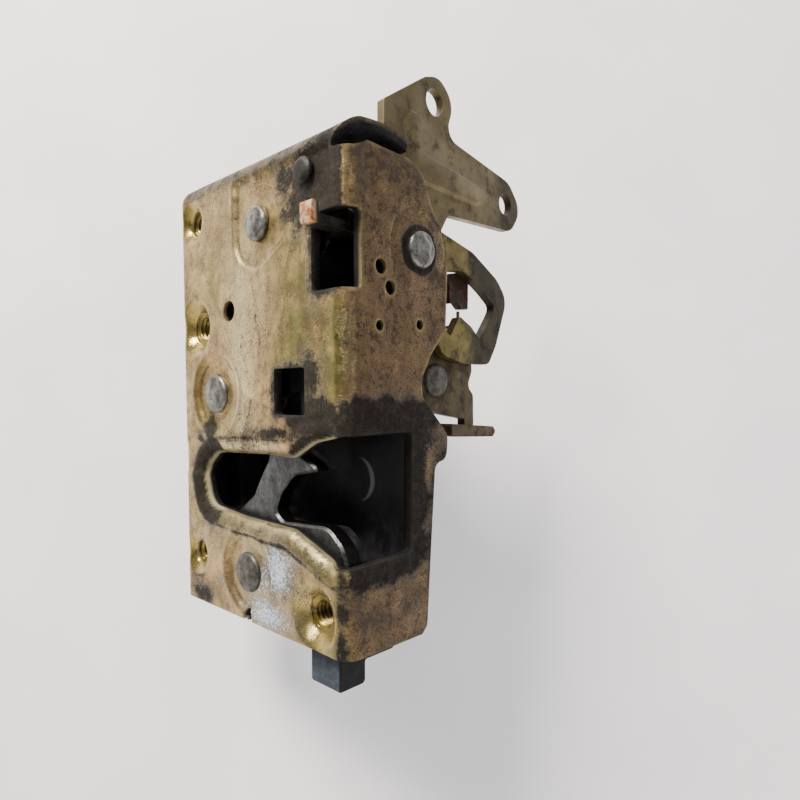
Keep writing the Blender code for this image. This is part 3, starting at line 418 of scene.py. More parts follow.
OXIDE = ((-21, 13, 7.0, 8.0, 1.15), (-25, 3, 12.0, 5.0, 1.1), (-27, 9, 5.0, 7.0, 0.9),
         (-16, 16, 6.0, 2.5, 0.8), (-46, 17, 6.0, 4.0, 0.45))
# Kinds of marks on the sheet: wear and stains, and also painted sheen, painted highlight and painted shade.
WEAR_AND_LIGHT = ("grease", "specks", "pink", "olive", "painted_sheen", "oxide", "bright", "edge", "flank", "rim", "inside")


def stains(across, height, ovals):
    """Strongest of several soft ovals: each fades as a Gaussian of the two distances over its reaches."""
    return np.maximum.reduce([strength * band(across, u, reach_u) * band(height, v, reach_v)
                              for u, v, reach_u, reach_v, strength in ovals])


def housing_marks(s, v, margin):
    """Wear, stains and painted light on the sheet, each kind from 0 to 1 at each point, by its name in the
    tuple of kinds above.
    """
    lip = -inside_distance(mouth_outline(), s, v)
    window = -inside_distance(window_outline(), s, v)
    square = -inside_distance(square_outline(), s, v)
    tongue = inside_distance(tongue_outline(), s, v)
    height = v - BOTTOM
    across = s - CORNER
    face = 1 - ramp(s, CORNER - 2.5, CORNER + 1.0)
    side = 1 - face
    depth = np.maximum(s - on_side(0.0), 0)
    pivot = np.hypot(s - on_side(SIDE_PIVOT[0]), v - SIDE_PIVOT[1])
    recess = np.minimum.reduce([np.abs(np.hypot(s - c[0], v - c[1]) - RECESS_R - 0.3)
                                for c in (CLAW_PIVOT, PAWL_PIVOT)])
    flange = ramp(v, TOP_BEND - 1.5, TOP_BEND + 1.5)
    lower_lip = (height < 30) * face
    bright = np.maximum.reduce([
        1 - ramp(np.hypot(s - c[0], v - c[1]) - sink_r, -0.4, 0.2)
        for centres, sink_r in ((SCREW_HOLES, LARGE_SINK_R), (GUIDE_HOLES, SMALL_SINK_R)) for c in centres])

    # Painted shade on the face: the lower lip darkened below the mouth, and darkening along the top bend and
    # the left bend, where the sheet turns from the light.
    on_face = np.maximum.reduce([
        stains(across, height, FACE_GREASE), 0.42 * band(lip, 1.8, 1.5) * (height < 30),
        0.62 * band(lip, 3.4, 0.9), 0.42 * ramp(height, 88.5, 92.5), 0.30 * ramp(-across, 53.5, 56.5),
        0.62 * band(window, 0.0, 2.6)])
    # On the side plate, the thin dark ring round the rivet at 7.8 mm is painted shade in its groove.
    on_side_plate = np.maximum.reduce([
        stains(across, height, SIDE_GREASE), 0.95 * band(lip, 0.0, 6.0), 0.36 * ramp(-height, -62, -46),
        0.26 * ramp(height, 78, 90), 0.50 * ramp(depth, 18.0, 23.0) * ramp(-height, -58, -40),
        0.45 * band(across, 2.5, 2.2) * ramp(height, 60, 90),
        0.80 * band(pivot, 4.2, 1.1), 0.50 * band(pivot, 7.8, 0.4)])
    # The thin dark lines along the tongue's outline and the recess edges are painted shade in creases; the
    # flange's darkening is painted shade as well.
    grease = np.maximum.reduce([
        stains(across, height, GREASE), face * on_face, side * on_side_plate, 0.44 * flange,
        0.46 * band(tongue, 0.5, 0.35), 0.36 * band(recess, 0.0, 0.4), 0.60 * band(square, 0.0, 2.0),
        band(lip, 1.5, 3.0) * ramp(-across, 40, 45),
        0.95 * band(lip, 0.0, 2.2) * ramp(across, -26, -14) * (height > 28),
        0.60 * band(across, -1.5, 2.4) * ramp(-height, -58, -44),
        0.45 * band(across, -1.0, 3.0) * ramp(height, 34, 44) * ramp(-height, -95, -60)])
    return {
        "grease": grease * (1 - 0.9 * bright),
        "specks": np.maximum.reduce([
            stains(across, height, SPECKS), side * stains(across, height, SIDE_SPECKS), 0.34 * face,
            0.72 * side, side * ramp(height, 76, 90), 0.9 * side * ramp(depth, 14, 24), flange]),
        "pink": np.clip(0.30 + 0.6 * waves(s, v, 24.0, 11) + 0.55 * side * ramp(-height, -86, -74), 0, 1),
        "olive": np.maximum.reduce([
            stains(across, height, OLIVE), 0.9 * band(across, -1.5, 3.0) * ramp(-height, -30, -20),
            0.9 * band(lip, 2.2, 1.8) * lower_lip, 0.8 * side * ramp(height, 82, 92), flange]),
        # painted sheen and highlight: the cream ovals and a thin band along the lower lip
        "painted_sheen": np.maximum.reduce([
            stains(across, height, SHEEN_OVALS), stains(across, height, UPPER_SHEEN_OVALS) * (height > 40),
            0.35 * band(lip, 0.6, 0.5) * (height < 27)]),
        "oxide": stains(across, height, OXIDE),
        "bright": bright,
        "edge": 1 - ramp(margin, 0.0, 0.7),
        # the side plate, which the material darkens with a browner film and with painted shade
        "flank": side,
        # the mouth's rim on the face: a thin painted highlight along the lip's edge
        "rim": (1 - ramp(lip, 0.0, 0.45)) * face * ramp(-across, 3.0, 6.0)}


def housing_piece(finish):
    """The pressed sheet: a grid over the developed sheet, trimmed to its outline, wrapped, pressed and
    given its thickness by a second skin one sheet further in, joined along the cut edges."""
    step, gap = 0.5, 0.02         # grid spacing, and the reach of a slope's two samples
    s_line = np.arange(LEFT_END - LEFT_FLANGE_DEPTH - 1, on_side(30.0), step)
    v_line = np.arange(BOTTOM - 1.0, FLANGE_END + 1.0, step)
    s, v = np.meshgrid(s_line, v_line, indexing="ij")
    margin = sheet_margin(s, v)
    solid = margin > 0.3 * step
    cell = solid[:-1, :-1] | solid[1:, :-1] | solid[:-1, 1:] | solid[1:, 1:]
    used = np.zeros_like(solid)
    for du in (0, 1):
        for dv in (0, 1):
            used[du:used.shape[0] - 1 + du, dv:used.shape[1] - 1 + dv] |= cell
    rim = used & ~solid
    for _ in range(3):
        here = sheet_margin(s[rim], v[rim])
        gs = (sheet_margin(s[rim] + gap, v[rim]) - sheet_margin(s[rim] - gap, v[rim])) / (2 * gap)
        gv = (sheet_margin(s[rim], v[rim] + gap) - sheet_margin(s[rim], v[rim] - gap)) / (2 * gap)
        size = np.maximum(gs * gs + gv * gv, 0.25)
        s[rim] -= here * gs / size
        v[rim] -= here * gv / size
    margin = np.where(rim, 0.0, margin)

    reach = 0.05
    along = wrap_sheet(s + reach, v) - wrap_sheet(s - reach, v)
    upward = wrap_sheet(s, v + reach) - wrap_sheet(s, v - reach)
    outward = np.cross(along, upward)
    outward /= np.maximum(np.linalg.norm(outward, axis=-1, keepdims=True), 1e-9)
    outer = (wrap_sheet(s, v) - outward * pressed_depth(s, v)[..., None])[used]
    inner = outer - SHEET * outward[used]

    number = np.cumsum(used.ravel()).reshape(used.shape) - 1
    corners = (number[:-1, :-1], number[1:, :-1], number[1:, 1:], number[:-1, 1:])
    quads = np.stack([corner[cell] for corner in corners], 1)
    count = len(outer)
    ends = np.concatenate([np.stack([quads[:, i], quads[:, (i + 1) % 4]], 1) for i in range(4)])
    key = ends[:, 0] * count + ends[:, 1]
    border = ends[~np.isin(key, ends[:, 1] * count + ends[:, 0])]
    walls = np.stack([border[:, 1], border[:, 0], border[:, 0] + count, border[:, 1] + count], 1)
    obj = new_mesh("housing_sheet", np.concatenate([outer, inner]),
                   np.concatenate([quads, quads[:, ::-1] + count, walls]))
    marks = housing_marks(s[used], v[used], margin[used])
    # the inner skin is marked inside; the material paints it near black as painted shade of the cavity
    marks["inside"] = np.zeros(count)
    for name, values in marks.items():
        both = np.concatenate([values, np.ones(count) if name == "inside" else values])
        attribute = obj.data.attributes.new(name, "FLOAT", "POINT")
        attribute.data.foreach_set("value", np.clip(both, 0, 1.2).astype(np.float32))
    obj.data.shade_smooth()
    edges = obj.modifiers.new("edges", "BEVEL")
    edges.width = 0.25 * MM
    edges.segments = 2
    edges.limit_method = "ANGLE"
    edges.angle_limit = math.radians(55)
    return finish_piece(obj, "frame", "chromated_sheet", finish, "housing")


# ---- Rivets and bushes ----------------------------------------------------------------------------
def rivet_piece(node, axis, head, finish, seed):
    """Turned rivet: a hammered crown whose height follows a power of one minus the cosine of its angle,
    then the head's rim, the shank, the tail and the riveted end."""
    low, high = (np.array(c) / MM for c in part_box(node))
    if axis == "Y":
        centre, tip, tail, inward = centre_of(node), low[1], high[1], 1.0
    else:
        centre, tip, tail, inward = centre_of(node, 1, 2), high[0], low[0], -1.0
    reach = abs(tail - tip)
    crown = [(head * math.sin(a), CROWN_DEPTH * (1 - math.cos(a)) ** 1.6)
             for a in np.linspace(0.0, math.pi / 2, 16)]
    crown[0] = (AXIS_R, 0.0)
    rest = [(head, HEAD_DEPTH - 0.2), (head * 0.985, HEAD_DEPTH), (SHANK_R, HEAD_DEPTH),
            (SHANK_R, reach - 3.6), (TAIL_R, reach - 3.6), (TAIL_R, reach - 1.2), (TAIL_HEAD_R, reach - 1.2),
            (TAIL_HEAD_R - 0.1, reach - 0.5), (TAIL_R, reach - 0.1), (AXIS_R, reach)]
    profile = [(r, tip + inward * t) for r, t in crown + rest]

    def hammered(turn, radius, height):
        """Dents of the hammer and the ring that the tool left, fading away below the crown."""
        dents = waves(radius * np.cos(turn), radius * np.sin(turn), 2.2, seed)
        worked = 0.12 * dents + 0.14 * band(radius / head, 0.62, 0.16)
        return inward * band(height, tip, 1.6) * worked * (radius > 10 * AXIS_R)

    obj = closed(new_mesh(node + "_finished", *skin(turned_grid(profile, centre, axis, 48, hammered))))
    return finish_piece(obj, "frame", slot_of_node(node), finish, node)


def bush_piece(node, finish, core):
    """Threaded bush: a ring whose bore radius follows a triangle wave of height and turn, widened a
    little at the mouth."""
    low, high = (np.array(c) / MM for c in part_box(node))
    centre = centre_of(node)
    outer = (high[0] - low[0]) / 2
    sides, rows = 40, 70
    height, turn = np.meshgrid(np.linspace(low[1], high[1], rows),
                               np.linspace(0, 2 * math.pi, sides, endpoint=False), indexing="ij")
    phase = np.mod(height / THREAD_PITCH - turn / (2 * math.pi), 1.0)
    bore = core + THREAD_DEPTH * np.abs(2 * phase - 1) + 0.5 * band(height, low[1], 0.4)
    inner = np.stack([centre[0] + bore * np.cos(turn), height, centre[1] + bore * np.sin(turn)], -1)
    outline = [(outer - 0.25, high[1]), (outer, high[1] - 0.3),
               (outer, low[1] + 0.3), (outer - 0.25, low[1])]
    shell = turned_grid(outline, centre, "Y", sides)
    obj = closed(new_mesh(node + "_finished", *skin(np.concatenate([inner, shell]), wrap=True)))
    return finish_piece(obj, "frame", slot_of_node(node), finish, node)


# ---- Materials ----------------------------------------------------------------------------------
SMOOTH = {"interpolation_type": "SMOOTHSTEP"}
COLOURS = {"data_type": "RGBA"}
TIMES_PLUS = {"operation": "MULTIPLY_ADD"}       # input 0 times input 1 plus input 2


def linear(code):
    """An sRGB hex colour as linear RGBA."""
    values = [int(code[i:i + 2], 16) / 255 for i in (1, 3, 5)]
    return (*[c / 12.92 if c <= 0.04045 else ((c + 0.055) / 1.055) ** 2.4 for c in values], 1.0)


def put(tree, kind, inputs=None, output=0, **settings):
    """Add a shader node with its settings, link its inputs or fill them with numbers or hex colours, and
    give back one of its outputs."""
    node = tree.nodes.new("ShaderNode" + kind)
    for key, value in settings.items():
        setattr(node, key, value)
    for key, value in (inputs or {}).items():
        if isinstance(value, bpy.types.NodeSocket):
            tree.links.new(value, node.inputs[key])
        else:
            node.inputs[key].default_value = linear(value) if isinstance(value, str) else value
    return node.outputs[output]


def start_material(name, metallic=0.0, roughness=0.5):
    """A new material with its shader's metallic and roughness, and the place in object coordinates."""
    made = bpy.data.materials.new(name)
    made.use_nodes = True
    tree = made.node_tree
    shader = tree.nodes["Principled BSDF"]
    shader.inputs["Metallic"].default_value = metallic
    shader.inputs["Roughness"].default_value = roughness
    return made, tree, shader, put(tree, "TexCoord", output="Object")


def blobs(place, size, detail=4.0, rough=0.55):
    """Inputs of a noise whose blobs are about size millimetres across."""
    return {"Vector": place, "Scale": 1 / (size * MM), "Detail": detail, "Roughness": rough}


def fade(value, low, high, floor=0.0, full=1.0):
    """Inputs of a step of a value between two thresholds."""
    return {"Value": value, "From Min": low, "From Max": high, "To Min": floor, "To Max": full}


def patches(tree, place, blob, low, high, floor=0.0, full=1.0):
    """Soft-edged patches: a noise of blobs (size mm, detail, roughness), stepped between two levels."""
    pattern = put(tree, "TexNoise", blobs(place, *blob))
    return put(tree, "MapRange", fade(pattern, low, high, floor, full), **SMOOTH)


def spots(tree, pattern, level, low, high):
    """Places where a pattern, raised by a local level, passes from low to high."""
    raised = put(tree, "Math", {0: pattern, 1: level}, operation="ADD")
    return put(tree, "MapRange", fade(raised, low, high), **SMOOTH)


def coat(tree, under, over, cover, share=1.0):
    """Lay one colour over another where the cover lies, at a share of its strength."""
    strength = put(tree, "Math", {0: cover, 1: share}, operation="MULTIPLY")
    return put(tree, "Mix", {0: strength, 6: under, 7: over}, 2, **COLOURS)


def set_surface(tree, shader, colour, roughness, bumps, metallic=None):
    """Link the colour, roughness and metallic maps, and stack bumps of (height, depth in mm)."""
    tree.links.new(colour, shader.inputs["Base Color"])
    tree.links.new(roughness, shader.inputs["Roughness"])
    if metallic is not None:
        tree.links.new(metallic, shader.inputs["Metallic"])
    below = {}
    for height, depth in bumps:
        normal = put(tree, "Bump", {"Height": height, "Distance": depth * MM, "Strength": 1.0, **below})
        below = {"Normal": normal}
    tree.links.new(normal, shader.inputs["Normal"])


def chromated_sheet():
    """Yellow-chromated zinc on pressed steel: a thin passivation film that shifts from straw gold to
    pink and green, broken by brown corrosion specks, black grease and blue-white zinc oxide, with
    painted sheen, painted highlights and painted shade laid into its colour as well."""
    made, tree, shader, place = start_material("yellow_chromated_zinc")
    wear_and_light = {name: put(tree, "Attribute", output="Fac", attribute_name=name) for name in WEAR_AND_LIGHT}
    runs = put(tree, "Mapping", {"Vector": place, "Scale": (1.0, 1.0, 0.3)})
    side_streak_place = put(tree, "Mapping", {"Vector": place, "Scale": (1.0, 1.0, 0.5)})

    # film of the chromate
    soft = patches(tree, place, (4.0, 6.0, 0.6), 0.25, 0.7)
    film = coat(tree, "#bfa566", "#8d7a48", patches(tree, place, (8.0, 6.0, 0.6), 0.38, 0.62))
    film = coat(tree, film, "#bd9273", wear_and_light["pink"], 0.75)
    green = put(tree, "Math", {0: soft, 1: 0.2}, operation="ADD")
    film = coat(tree, film, "#777238", wear_and_light["olive"], green)
    film = coat(tree, film, "#6f5d38", patches(tree, place, (2.4, 7.0, 0.65), 0.44, 0.70, full=0.75))
    film = coat(tree, film, "#5f5130", patches(tree, runs, (5.0, 8.0, 0.7), 0.50, 0.72, full=0.55))
    # the side plate is darker than the face: a browner film, and painted shade of a plate turned away from
    # the key light
    side_darkening = patches(tree, side_streak_place, (3.0, 6.0, 0.6), 0.3, 0.7, 0.65, 0.95)
    film = coat(tree, film, "#6f5c41", wear_and_light["flank"], side_darkening)
    # painted sheen: pale cream where the face and the mouth's lips catch the light
    film = coat(tree, film, "#ddd2a4", wear_and_light["painted_sheen"], 0.8)
    film = coat(tree, film, "#a3904e", wear_and_light["bright"], 0.8)

    # corrosion specks and pits, and the white bloom of zinc oxide
    grain = put(tree, "TexNoise", blobs(place, 0.32, 6.0, 0.75))
    drift = put(tree, "TexNoise", blobs(place, 5.0, 5.0, 0.6))
    level = put(tree, "Math", {0: drift, 1: 0.34, 2: 0.0}, **TIMES_PLUS)
    level = put(tree, "Math", {0: wear_and_light["specks"], 1: 0.21, 2: level}, **TIMES_PLUS)
    specks = spots(tree, grain, level, 0.76, 0.86)
    film = coat(tree, film, "#4a3826", specks, 0.85)
    pitted = put(tree, "TexNoise", blobs(place, 1.3, 6.0, 0.75))
    film = coat(tree, film, "#33291e", spots(tree, pitted, level, 0.84, 0.93), 0.85)
    bloom = put(tree, "TexNoise", blobs(place, 0.6, 6.0, 0.75))
    level = put(tree, "Math", {0: wear_and_light["oxide"], 1: 0.26, 2: 0.0}, **TIMES_PLUS)
    crust = spots(tree, bloom, level, 0.70, 0.80)
    film = coat(tree, film, "#75776f", wear_and_light["oxide"], 0.5)
    film = coat(tree, film, "#c9d4e2", wear_and_light["oxide"], crust)

    # grease, thin at its borders; its mask also carries the painted shade of creases, bends and the lower
    # lip
    fine = put(tree, "TexNoise", blobs(place, 0.6, 4.0, 0.7))
    coarse = put(tree, "TexNoise", blobs(place, 4.0, 8.0, 0.7))
    broken = put(tree, "Math", {0: fine, 1: 0.35, 2: -0.72}, **TIMES_PLUS)
    broken = put(tree, "Math", {0: coarse, 1: 1.1, 2: broken}, **TIMES_PLUS)
    thick = spots(tree, broken, wear_and_light["grease"], 0.38, 0.66)
    tar = coat(tree, "#0e0d0d", "#2c2825", patches(tree, place, (1.1, 6.0, 0.7), 0.40, 0.75))
    film = coat(tree, film, "#4a4130", spots(tree, broken, wear_and_light["grease"], 0.12, 0.60), 0.6)
    film = coat(tree, film, tar, thick, 0.93)

    # cut edges, the mouth's rim with its painted highlight, and the inner side, painted near black as
    # painted shade of the cavity
    cut = coat(tree, "#8f8155", "#2b2822", spots(tree, broken, wear_and_light["grease"], 0.1, 0.5))
    film = coat(tree, film, cut, wear_and_light["edge"], 0.6)
    # painted highlight: a thin pale line along the mouth's rim
    film = coat(tree, film, "#b5ac84", wear_and_light["rim"], 0.75)
    inside = put(tree, "MapRange", fade(wear_and_light["inside"], 0.02, 0.55), **SMOOTH)
    film = coat(tree, film, coat(tree, "#0e0d0f", "#221f21", soft), inside)

    dull = put(tree, "Math", {0: inside, 1: thick}, operation="MAXIMUM")
    rough = patches(tree, place, (3.0, 5.0, 0.55), 0.3, 0.7, 0.24, 0.42)
    for cover, change in ((wear_and_light["bright"], -0.14), (specks, 0.25), (dull, 0.18)):
        rough = put(tree, "Math", {0: cover, 1: change, 2: rough}, **TIMES_PLUS)
    metal = put(tree, "Math", {0: thick, 1: -0.82, 2: 0.9}, **TIMES_PLUS)
    metal = put(tree, "Math", {0: specks, 1: -0.3, 2: metal}, **TIMES_PLUS)
    clean = put(tree, "Math", {0: inside, 1: -0.8, 2: 1.0}, **TIMES_PLUS)
    metal = put(tree, "Math", {0: metal, 1: clean}, operation="MULTIPLY")
    gloss = put(tree, "Math", {0: dull, 1: -0.4, 2: 0.5}, **TIMES_PLUS)
    tree.links.new(gloss, shader.inputs["Specular IOR Level"])
    lumps = put(tree, "TexNoise", blobs(place, 0.8, 6.0, 0.75))
    lumps = put(tree, "Math", {0: lumps, 1: thick}, operation="MULTIPLY")
    hammered = put(tree, "TexNoise", blobs(place, 1.8, 5.0))
    uneven = put(tree, "TexNoise", blobs(place, 9.0, 2.0))
    bumps = ((grain, -0.035), (hammered, 0.08), (uneven, 0.5), (lumps, 0.30))
    set_surface(tree, shader, film, rough, bumps, metal)
    return made


def plated_steel(name, tones, grime, speck_share, grime_level, roughness=(0.36, 0.56), metallic=0.85,
                 soiled_from=None):
    """Zinc-plated pressed steel gone dull: three film tones, fine specks and a wiped-on oily grime, which
    can thicken from a given depth (mm along Y) backwards."""
    made, tree, shader, place = start_material(name, metallic)
    colour = coat(tree, tones[0], tones[1], patches(tree, place, (7.0,), 0.35, 0.65))
    colour = coat(tree, colour, tones[2], patches(tree, place, (2.0, 6.0, 0.65), 0.5, 0.72, full=0.8))
    fine = put(tree, "TexNoise", blobs(place, 0.6, 4.0, 0.6))
    start = 0.72 - 0.1 * speck_share
    colour = coat(tree, colour, grime, put(tree, "MapRange", fade(fine, start, start + 0.08), **SMOOTH))
    oily = put(tree, "TexNoise", blobs(place, 4.5, 6.0, 0.7))
    start = 0.62 - 0.2 * grime_level
    smear = put(tree, "MapRange", fade(oily, start, start + 0.16), **SMOOTH)
    colour = coat(tree, colour, grime, smear, 0.75)
    if soiled_from is not None:
        depth = put(tree, "SeparateXYZ", {0: place}, 1)
        uneven = put(tree, "Math", {0: oily, 1: 14 * MM, 2: depth}, **TIMES_PLUS)
        reach = fade(uneven, (soiled_from + 5) * MM, (soiled_from + 13) * MM, full=0.85)
        colour = coat(tree, colour, grime, put(tree, "MapRange", reach, **SMOOTH))
    rough = put(tree, "MapRange", fade(oily, 0.3, 0.7, *roughness), **SMOOTH)
    drawn = put(tree, "Mapping", {"Vector": place, "Scale": (1.0, 0.12, 1.0)})
    scratch = put(tree, "TexNoise", blobs(drawn, 0.5, 3.0, 0.5))
    set_surface(tree, shader, colour, rough, ((fine, -0.02), (scratch, 0.012), (oily, 0.06)))
    return made


def bare_steel(name, light, dark, pit, roughness=(0.32, 0.5), flank=None):
    """Uncoated steel handled for years: grey with dark pits and an oil film; a blanked piece can have
    flanks in a darker tone than its front and back."""
    made, tree, shader, place = start_material(name, 0.9)
    colour = coat(tree, light, dark, patches(tree, place, (2.6, 6.0, 0.65), 0.35, 0.68))
    colour = coat(tree, colour, pit, patches(tree, place, (0.5, 5.0, 0.7), 0.56, 0.66))
    colour = coat(tree, colour, pit, patches(tree, place, (1.5, 6.0, 0.7), 0.58, 0.68), 0.7)
    if flank is not None:
        facing = put(tree, "SeparateXYZ", {0: put(tree, "TexCoord", output="Normal")}, 1)
        level = put(tree, "Math", {0: facing}, operation="ABSOLUTE")
        colour = coat(tree, colour, flank, put(tree, "MapRange", fade(level, 0.85, 0.3), **SMOOTH))
    rough = patches(tree, place, (1.2,), 0.3, 0.7, *roughness)
    pitted = put(tree, "TexNoise", blobs(place, 0.5, 4.0, 0.65))
    dented = put(tree, "TexNoise", blobs(place, 1.6))
    set_surface(tree, shader, colour, rough, ((pitted, -0.04), (dented, 0.10)))
    return made


def blackened_plate():
    """Blackened steel under old grease, with one pale crescent opposite the mouth that is a painted
    highlight:
    the part of one circle that another circle, set a little to the left, leaves uncovered."""
    made, tree, shader, place = start_material("blackened_steel", 0.4)
    mottle = put(tree, "TexNoise", blobs(place, 2.4, 6.0, 0.7))
    colour = coat(tree, "#111012", "#232024", put(tree, "MapRange", fade(mottle, 0.35, 0.7), **SMOOTH))
    flat = put(tree, "VectorMath", {0: place, 1: (1, 0, 1)}, operation="MULTIPLY")
    discs = []
    for across, height, start, end in ((-15.7, 30.3, 4.9, 4.5), (-17.4, 30.2, 4.9, 5.4)):
        centre = ((CORNER + across) * MM, 0, (BOTTOM + height) * MM)
        reach = put(tree, "VectorMath", {0: flat, 1: centre}, "Value", operation="DISTANCE")
        discs.append(put(tree, "MapRange", fade(reach, start * MM, end * MM), **SMOOTH))
    # painted highlight: a pale crescent on the dark plate
    colour = coat(tree, colour, "#5f5e67", *discs)
    rough = put(tree, "MapRange", fade(mottle, 0.3, 0.7, 0.42, 0.68), **SMOOTH)
    grain = put(tree, "TexNoise", blobs(place, 0.5))
    set_surface(tree, shader, colour, rough, ((mottle, 0.06), (grain, 0.015)))
    return made


def copper_ended_steel():
    """Dark greasy lever steel whose sheared tab end is bare and coppery."""
    made, tree, shader, place = start_material("copper_ended_steel", 0.8)
    mottle = put(tree, "TexNoise", blobs(place, 1.2, 6.0, 0.7))
    body = coat(tree, "#1d1b19", "#3f3a31", put(tree, "MapRange", fade(mottle, 0.35, 0.7), **SMOOTH))
    end = coat(tree, "#a85c2b", "#cfb894", put(tree, "MapRange", fade(mottle, 0.40, 0.62), **SMOOTH))
    depth = put(tree, "SeparateXYZ", {0: place}, 1)
    depth = put(tree, "Math", {0: mottle, 1: 1.2 * MM, 2: depth}, **TIMES_PLUS)
    tip = put(tree, "MapRange", fade(depth, -2.2 * MM, -3.2 * MM), **SMOOTH)
    rough = put(tree, "MapRange", fade(mottle, 0.3, 0.7, 0.35, 0.6), **SMOOTH)
    set_surface(tree, shader, coat(tree, body, end, tip), rough, ((mottle, 0.08),))
    return made


def front_film_plastic():
    """Moulded black plastic with a pale bluish-grey mottled film on the face that looks forwards."""
    made, tree, shader, place = start_material("black_plastic_front_film")
    shader.inputs["Specular IOR Level"].default_value = 0.15
    pale_mottle = patches(tree, place, (2.2, 6.0, 0.7), 0.25, 0.75)
    facing = put(tree, "SeparateXYZ", {0: put(tree, "TexCoord", output="Normal")}, 1)
    front = put(tree, "MapRange", fade(facing, -0.6, -0.97), **SMOOTH)
    share = put(tree, "Math", {0: front, 1: 0.9, 2: 0.03}, **TIMES_PLUS)
    film = put(tree, "Math", {0: pale_mottle, 1: share}, operation="MULTIPLY")
    rough = put(tree, "MapRange", fade(film, 0.0, 0.8, 0.42, 0.85), **SMOOTH)
    grain = put(tree, "TexNoise", blobs(place, 0.4, 3.0))
    set_surface(tree, shader, coat(tree, "#0b0a0d", "#454e57", film), rough, ((grain, 0.02), (pale_mottle, 0.05)))
    return made


def dark_moulding(name, colour, tint, roughness):
    """Moulded nylon or rubber, dark, with a faint oily mottle."""
    made, tree, shader, place = start_material(name)
    shader.inputs["Specular IOR Level"].default_value = 0.2
    mottle = put(tree, "TexNoise", blobs(place, 1.8, 5.0, 0.65))
    tone = coat(tree, colour, tint, put(tree, "MapRange", fade(mottle, 0.35, 0.75), **SMOOTH))
    rough = put(tree, "MapRange", fade(mottle, 0.3, 0.7, *roughness), **SMOOTH)
    grain = put(tree, "TexNoise", blobs(place, 0.35, 3.0))
    set_surface(tree, shader, tone, rough, ((grain, 0.015), (mottle, 0.05)))
    return made


# ---- The object's pieces ------------------------------------------------------------------------
def build_pieces():
    """Every visible piece, with the finish that it has."""
    bracket = plated_steel("olive_zinc_plate", ("#726749", "#5d523a", "#6b624d"), "#2f2619", 0.6, 0.5,
                           soiled_from=52)
    lever = plated_steel("greenish_zinc_plate", ("#827441", "#6a5e35", "#565041"), "#1f1d1a", 0.7, 0.7,
                         soiled_from=35)
    plate = plated_steel("dull_zinc_plate", ("#574c36", "#473d2b", "#63583f"), "#1e1a13", 0.7, 0.8)
    hidden = plated_steel("plain_zinc_plate", ("#8f876c", "#7b7358", "#8b8674"), "#3a3428", 0.5, 0.5)
    bush = plated_steel("bright_chromate", ("#8f7a3c", "#6f5f30", "#a08c50"), "#1c170e", 0.6, 0.7,
                        (0.25, 0.4))
    bronze = plated_steel("brown_bronze", ("#3a2218", "#2a1811", "#5a382a"), "#140c08", 0.4, 0.5,
                          (0.4, 0.6), metallic=0.5)
    blackened = blackened_plate()
    claw_steel = bare_steel("greasy_claw_steel", "#565757", "#3a3b3a", "#141312", flank="#1b1918")
    rivet = bare_steel("riveted_steel", "#83837c", "#54534d", "#2a2823")
    dark_rivet = bare_steel("stained_rivet_steel", "#5f5d57", "#413f3a", "#23211c", (0.4, 0.6))
    stud_steel = bare_steel("greased_stud_steel", "#3b3936", "#272523", "#131211", (0.5, 0.7))
    wire = bare_steel("oiled_spring_wire", "#5d5a54", "#3b3935", "#1c1a18", (0.25, 0.4))
    nylon = dark_moulding("moulded_nylon", "#141316", "#2b292b", (0.3, 0.5))
    rubber = dark_moulding("moulded_rubber", "#101010", "#1c1c1d", (0.7, 0.9))

    housing_piece(chromated_sheet())
    rivets = (("claw_pivot_rivet", "Y", 4.3, dark_rivet), ("pawl_pivot_rivet", "Y", 4.3, rivet),
              ("lift_pivot_rivet", "Y", 3.5, rivet), ("side_pivot_rivet", "X", 3.5, rivet),
              ("bearing_rivet", "X", 3.6, dark_rivet))
    for seed, (node, axis, head, finish) in enumerate(rivets, 20):
        rivet_piece(node, axis, head, finish, seed)
    for node, core in (("screw_bush_left", 2.45), ("screw_bush_right", 2.45), ("guide_bush_top", 1.7),
                       ("guide_bush_bottom", 1.7)):
        bush_piece(node, bush, core)
    for node, finish, width in (
            ("rod_lever", bracket, 0.3), ("lock_lever", lever, 0.3), ("bearing_plate", plate, 0.3),
            ("lift_lever", copper_ended_steel(), 0.3), ("inner_bearing_plate", blackened, 0.3),
            ("back_plate", blackened, 0.3), ("claw", claw_steel, 0.25), ("claw_jacket", nylon, 0.4),
            ("pawl", blackened, 0.4), ("foot_rivet", rivet, 0.15), ("stop_stud", stud_steel, 0.15),
            ("detent_tab", bronze, 0.2), ("detent_wire", wire, 0.0), ("claw_spring", wire, 0.0),
            ("pawl_spring", wire, 0.0), ("lift_spring", wire, 0.0), ("claw_washer", hidden, 0.15),
            ("pawl_washer", hidden, 0.15), ("striker_buffer", rubber, 0.5),
            ("corner_block", front_film_plastic(), 0.4)):
        refined(node, finish, width)


# ---- Stage, lights and camera, in metres ----------------------------------------------------------
VIEW_BACK = Vector((0.6985, -0.7123, 0.0678)).normalized()     # from the object towards the camera
VIEW_RIGHT = Vector((0, 0, 1)).cross(VIEW_BACK).normalized()
VIEW_UP = VIEW_BACK.cross(VIEW_RIGHT)
CAMERA_PLACE = (0.10895, -0.0720, 0.0)
MIDDLE = (cad_low + cad_high) / 2
FLOOR_DROP = 0.25
BACKDROP_GAP = 0.030
# name, place (back, right, up from the object's middle), size, watts, colour
LIGHTS = (("key", (0.34, -0.30, 0.52), 0.26, 13.0, "#fffaf2"),
          ("fill", (0.45, 0.40, 0.10), 0.45, 0.9, "#f2f6ff"),
          ("rear", (-0.55, 0.20, 0.45), 0.5, 3.0, "#ffffff"))


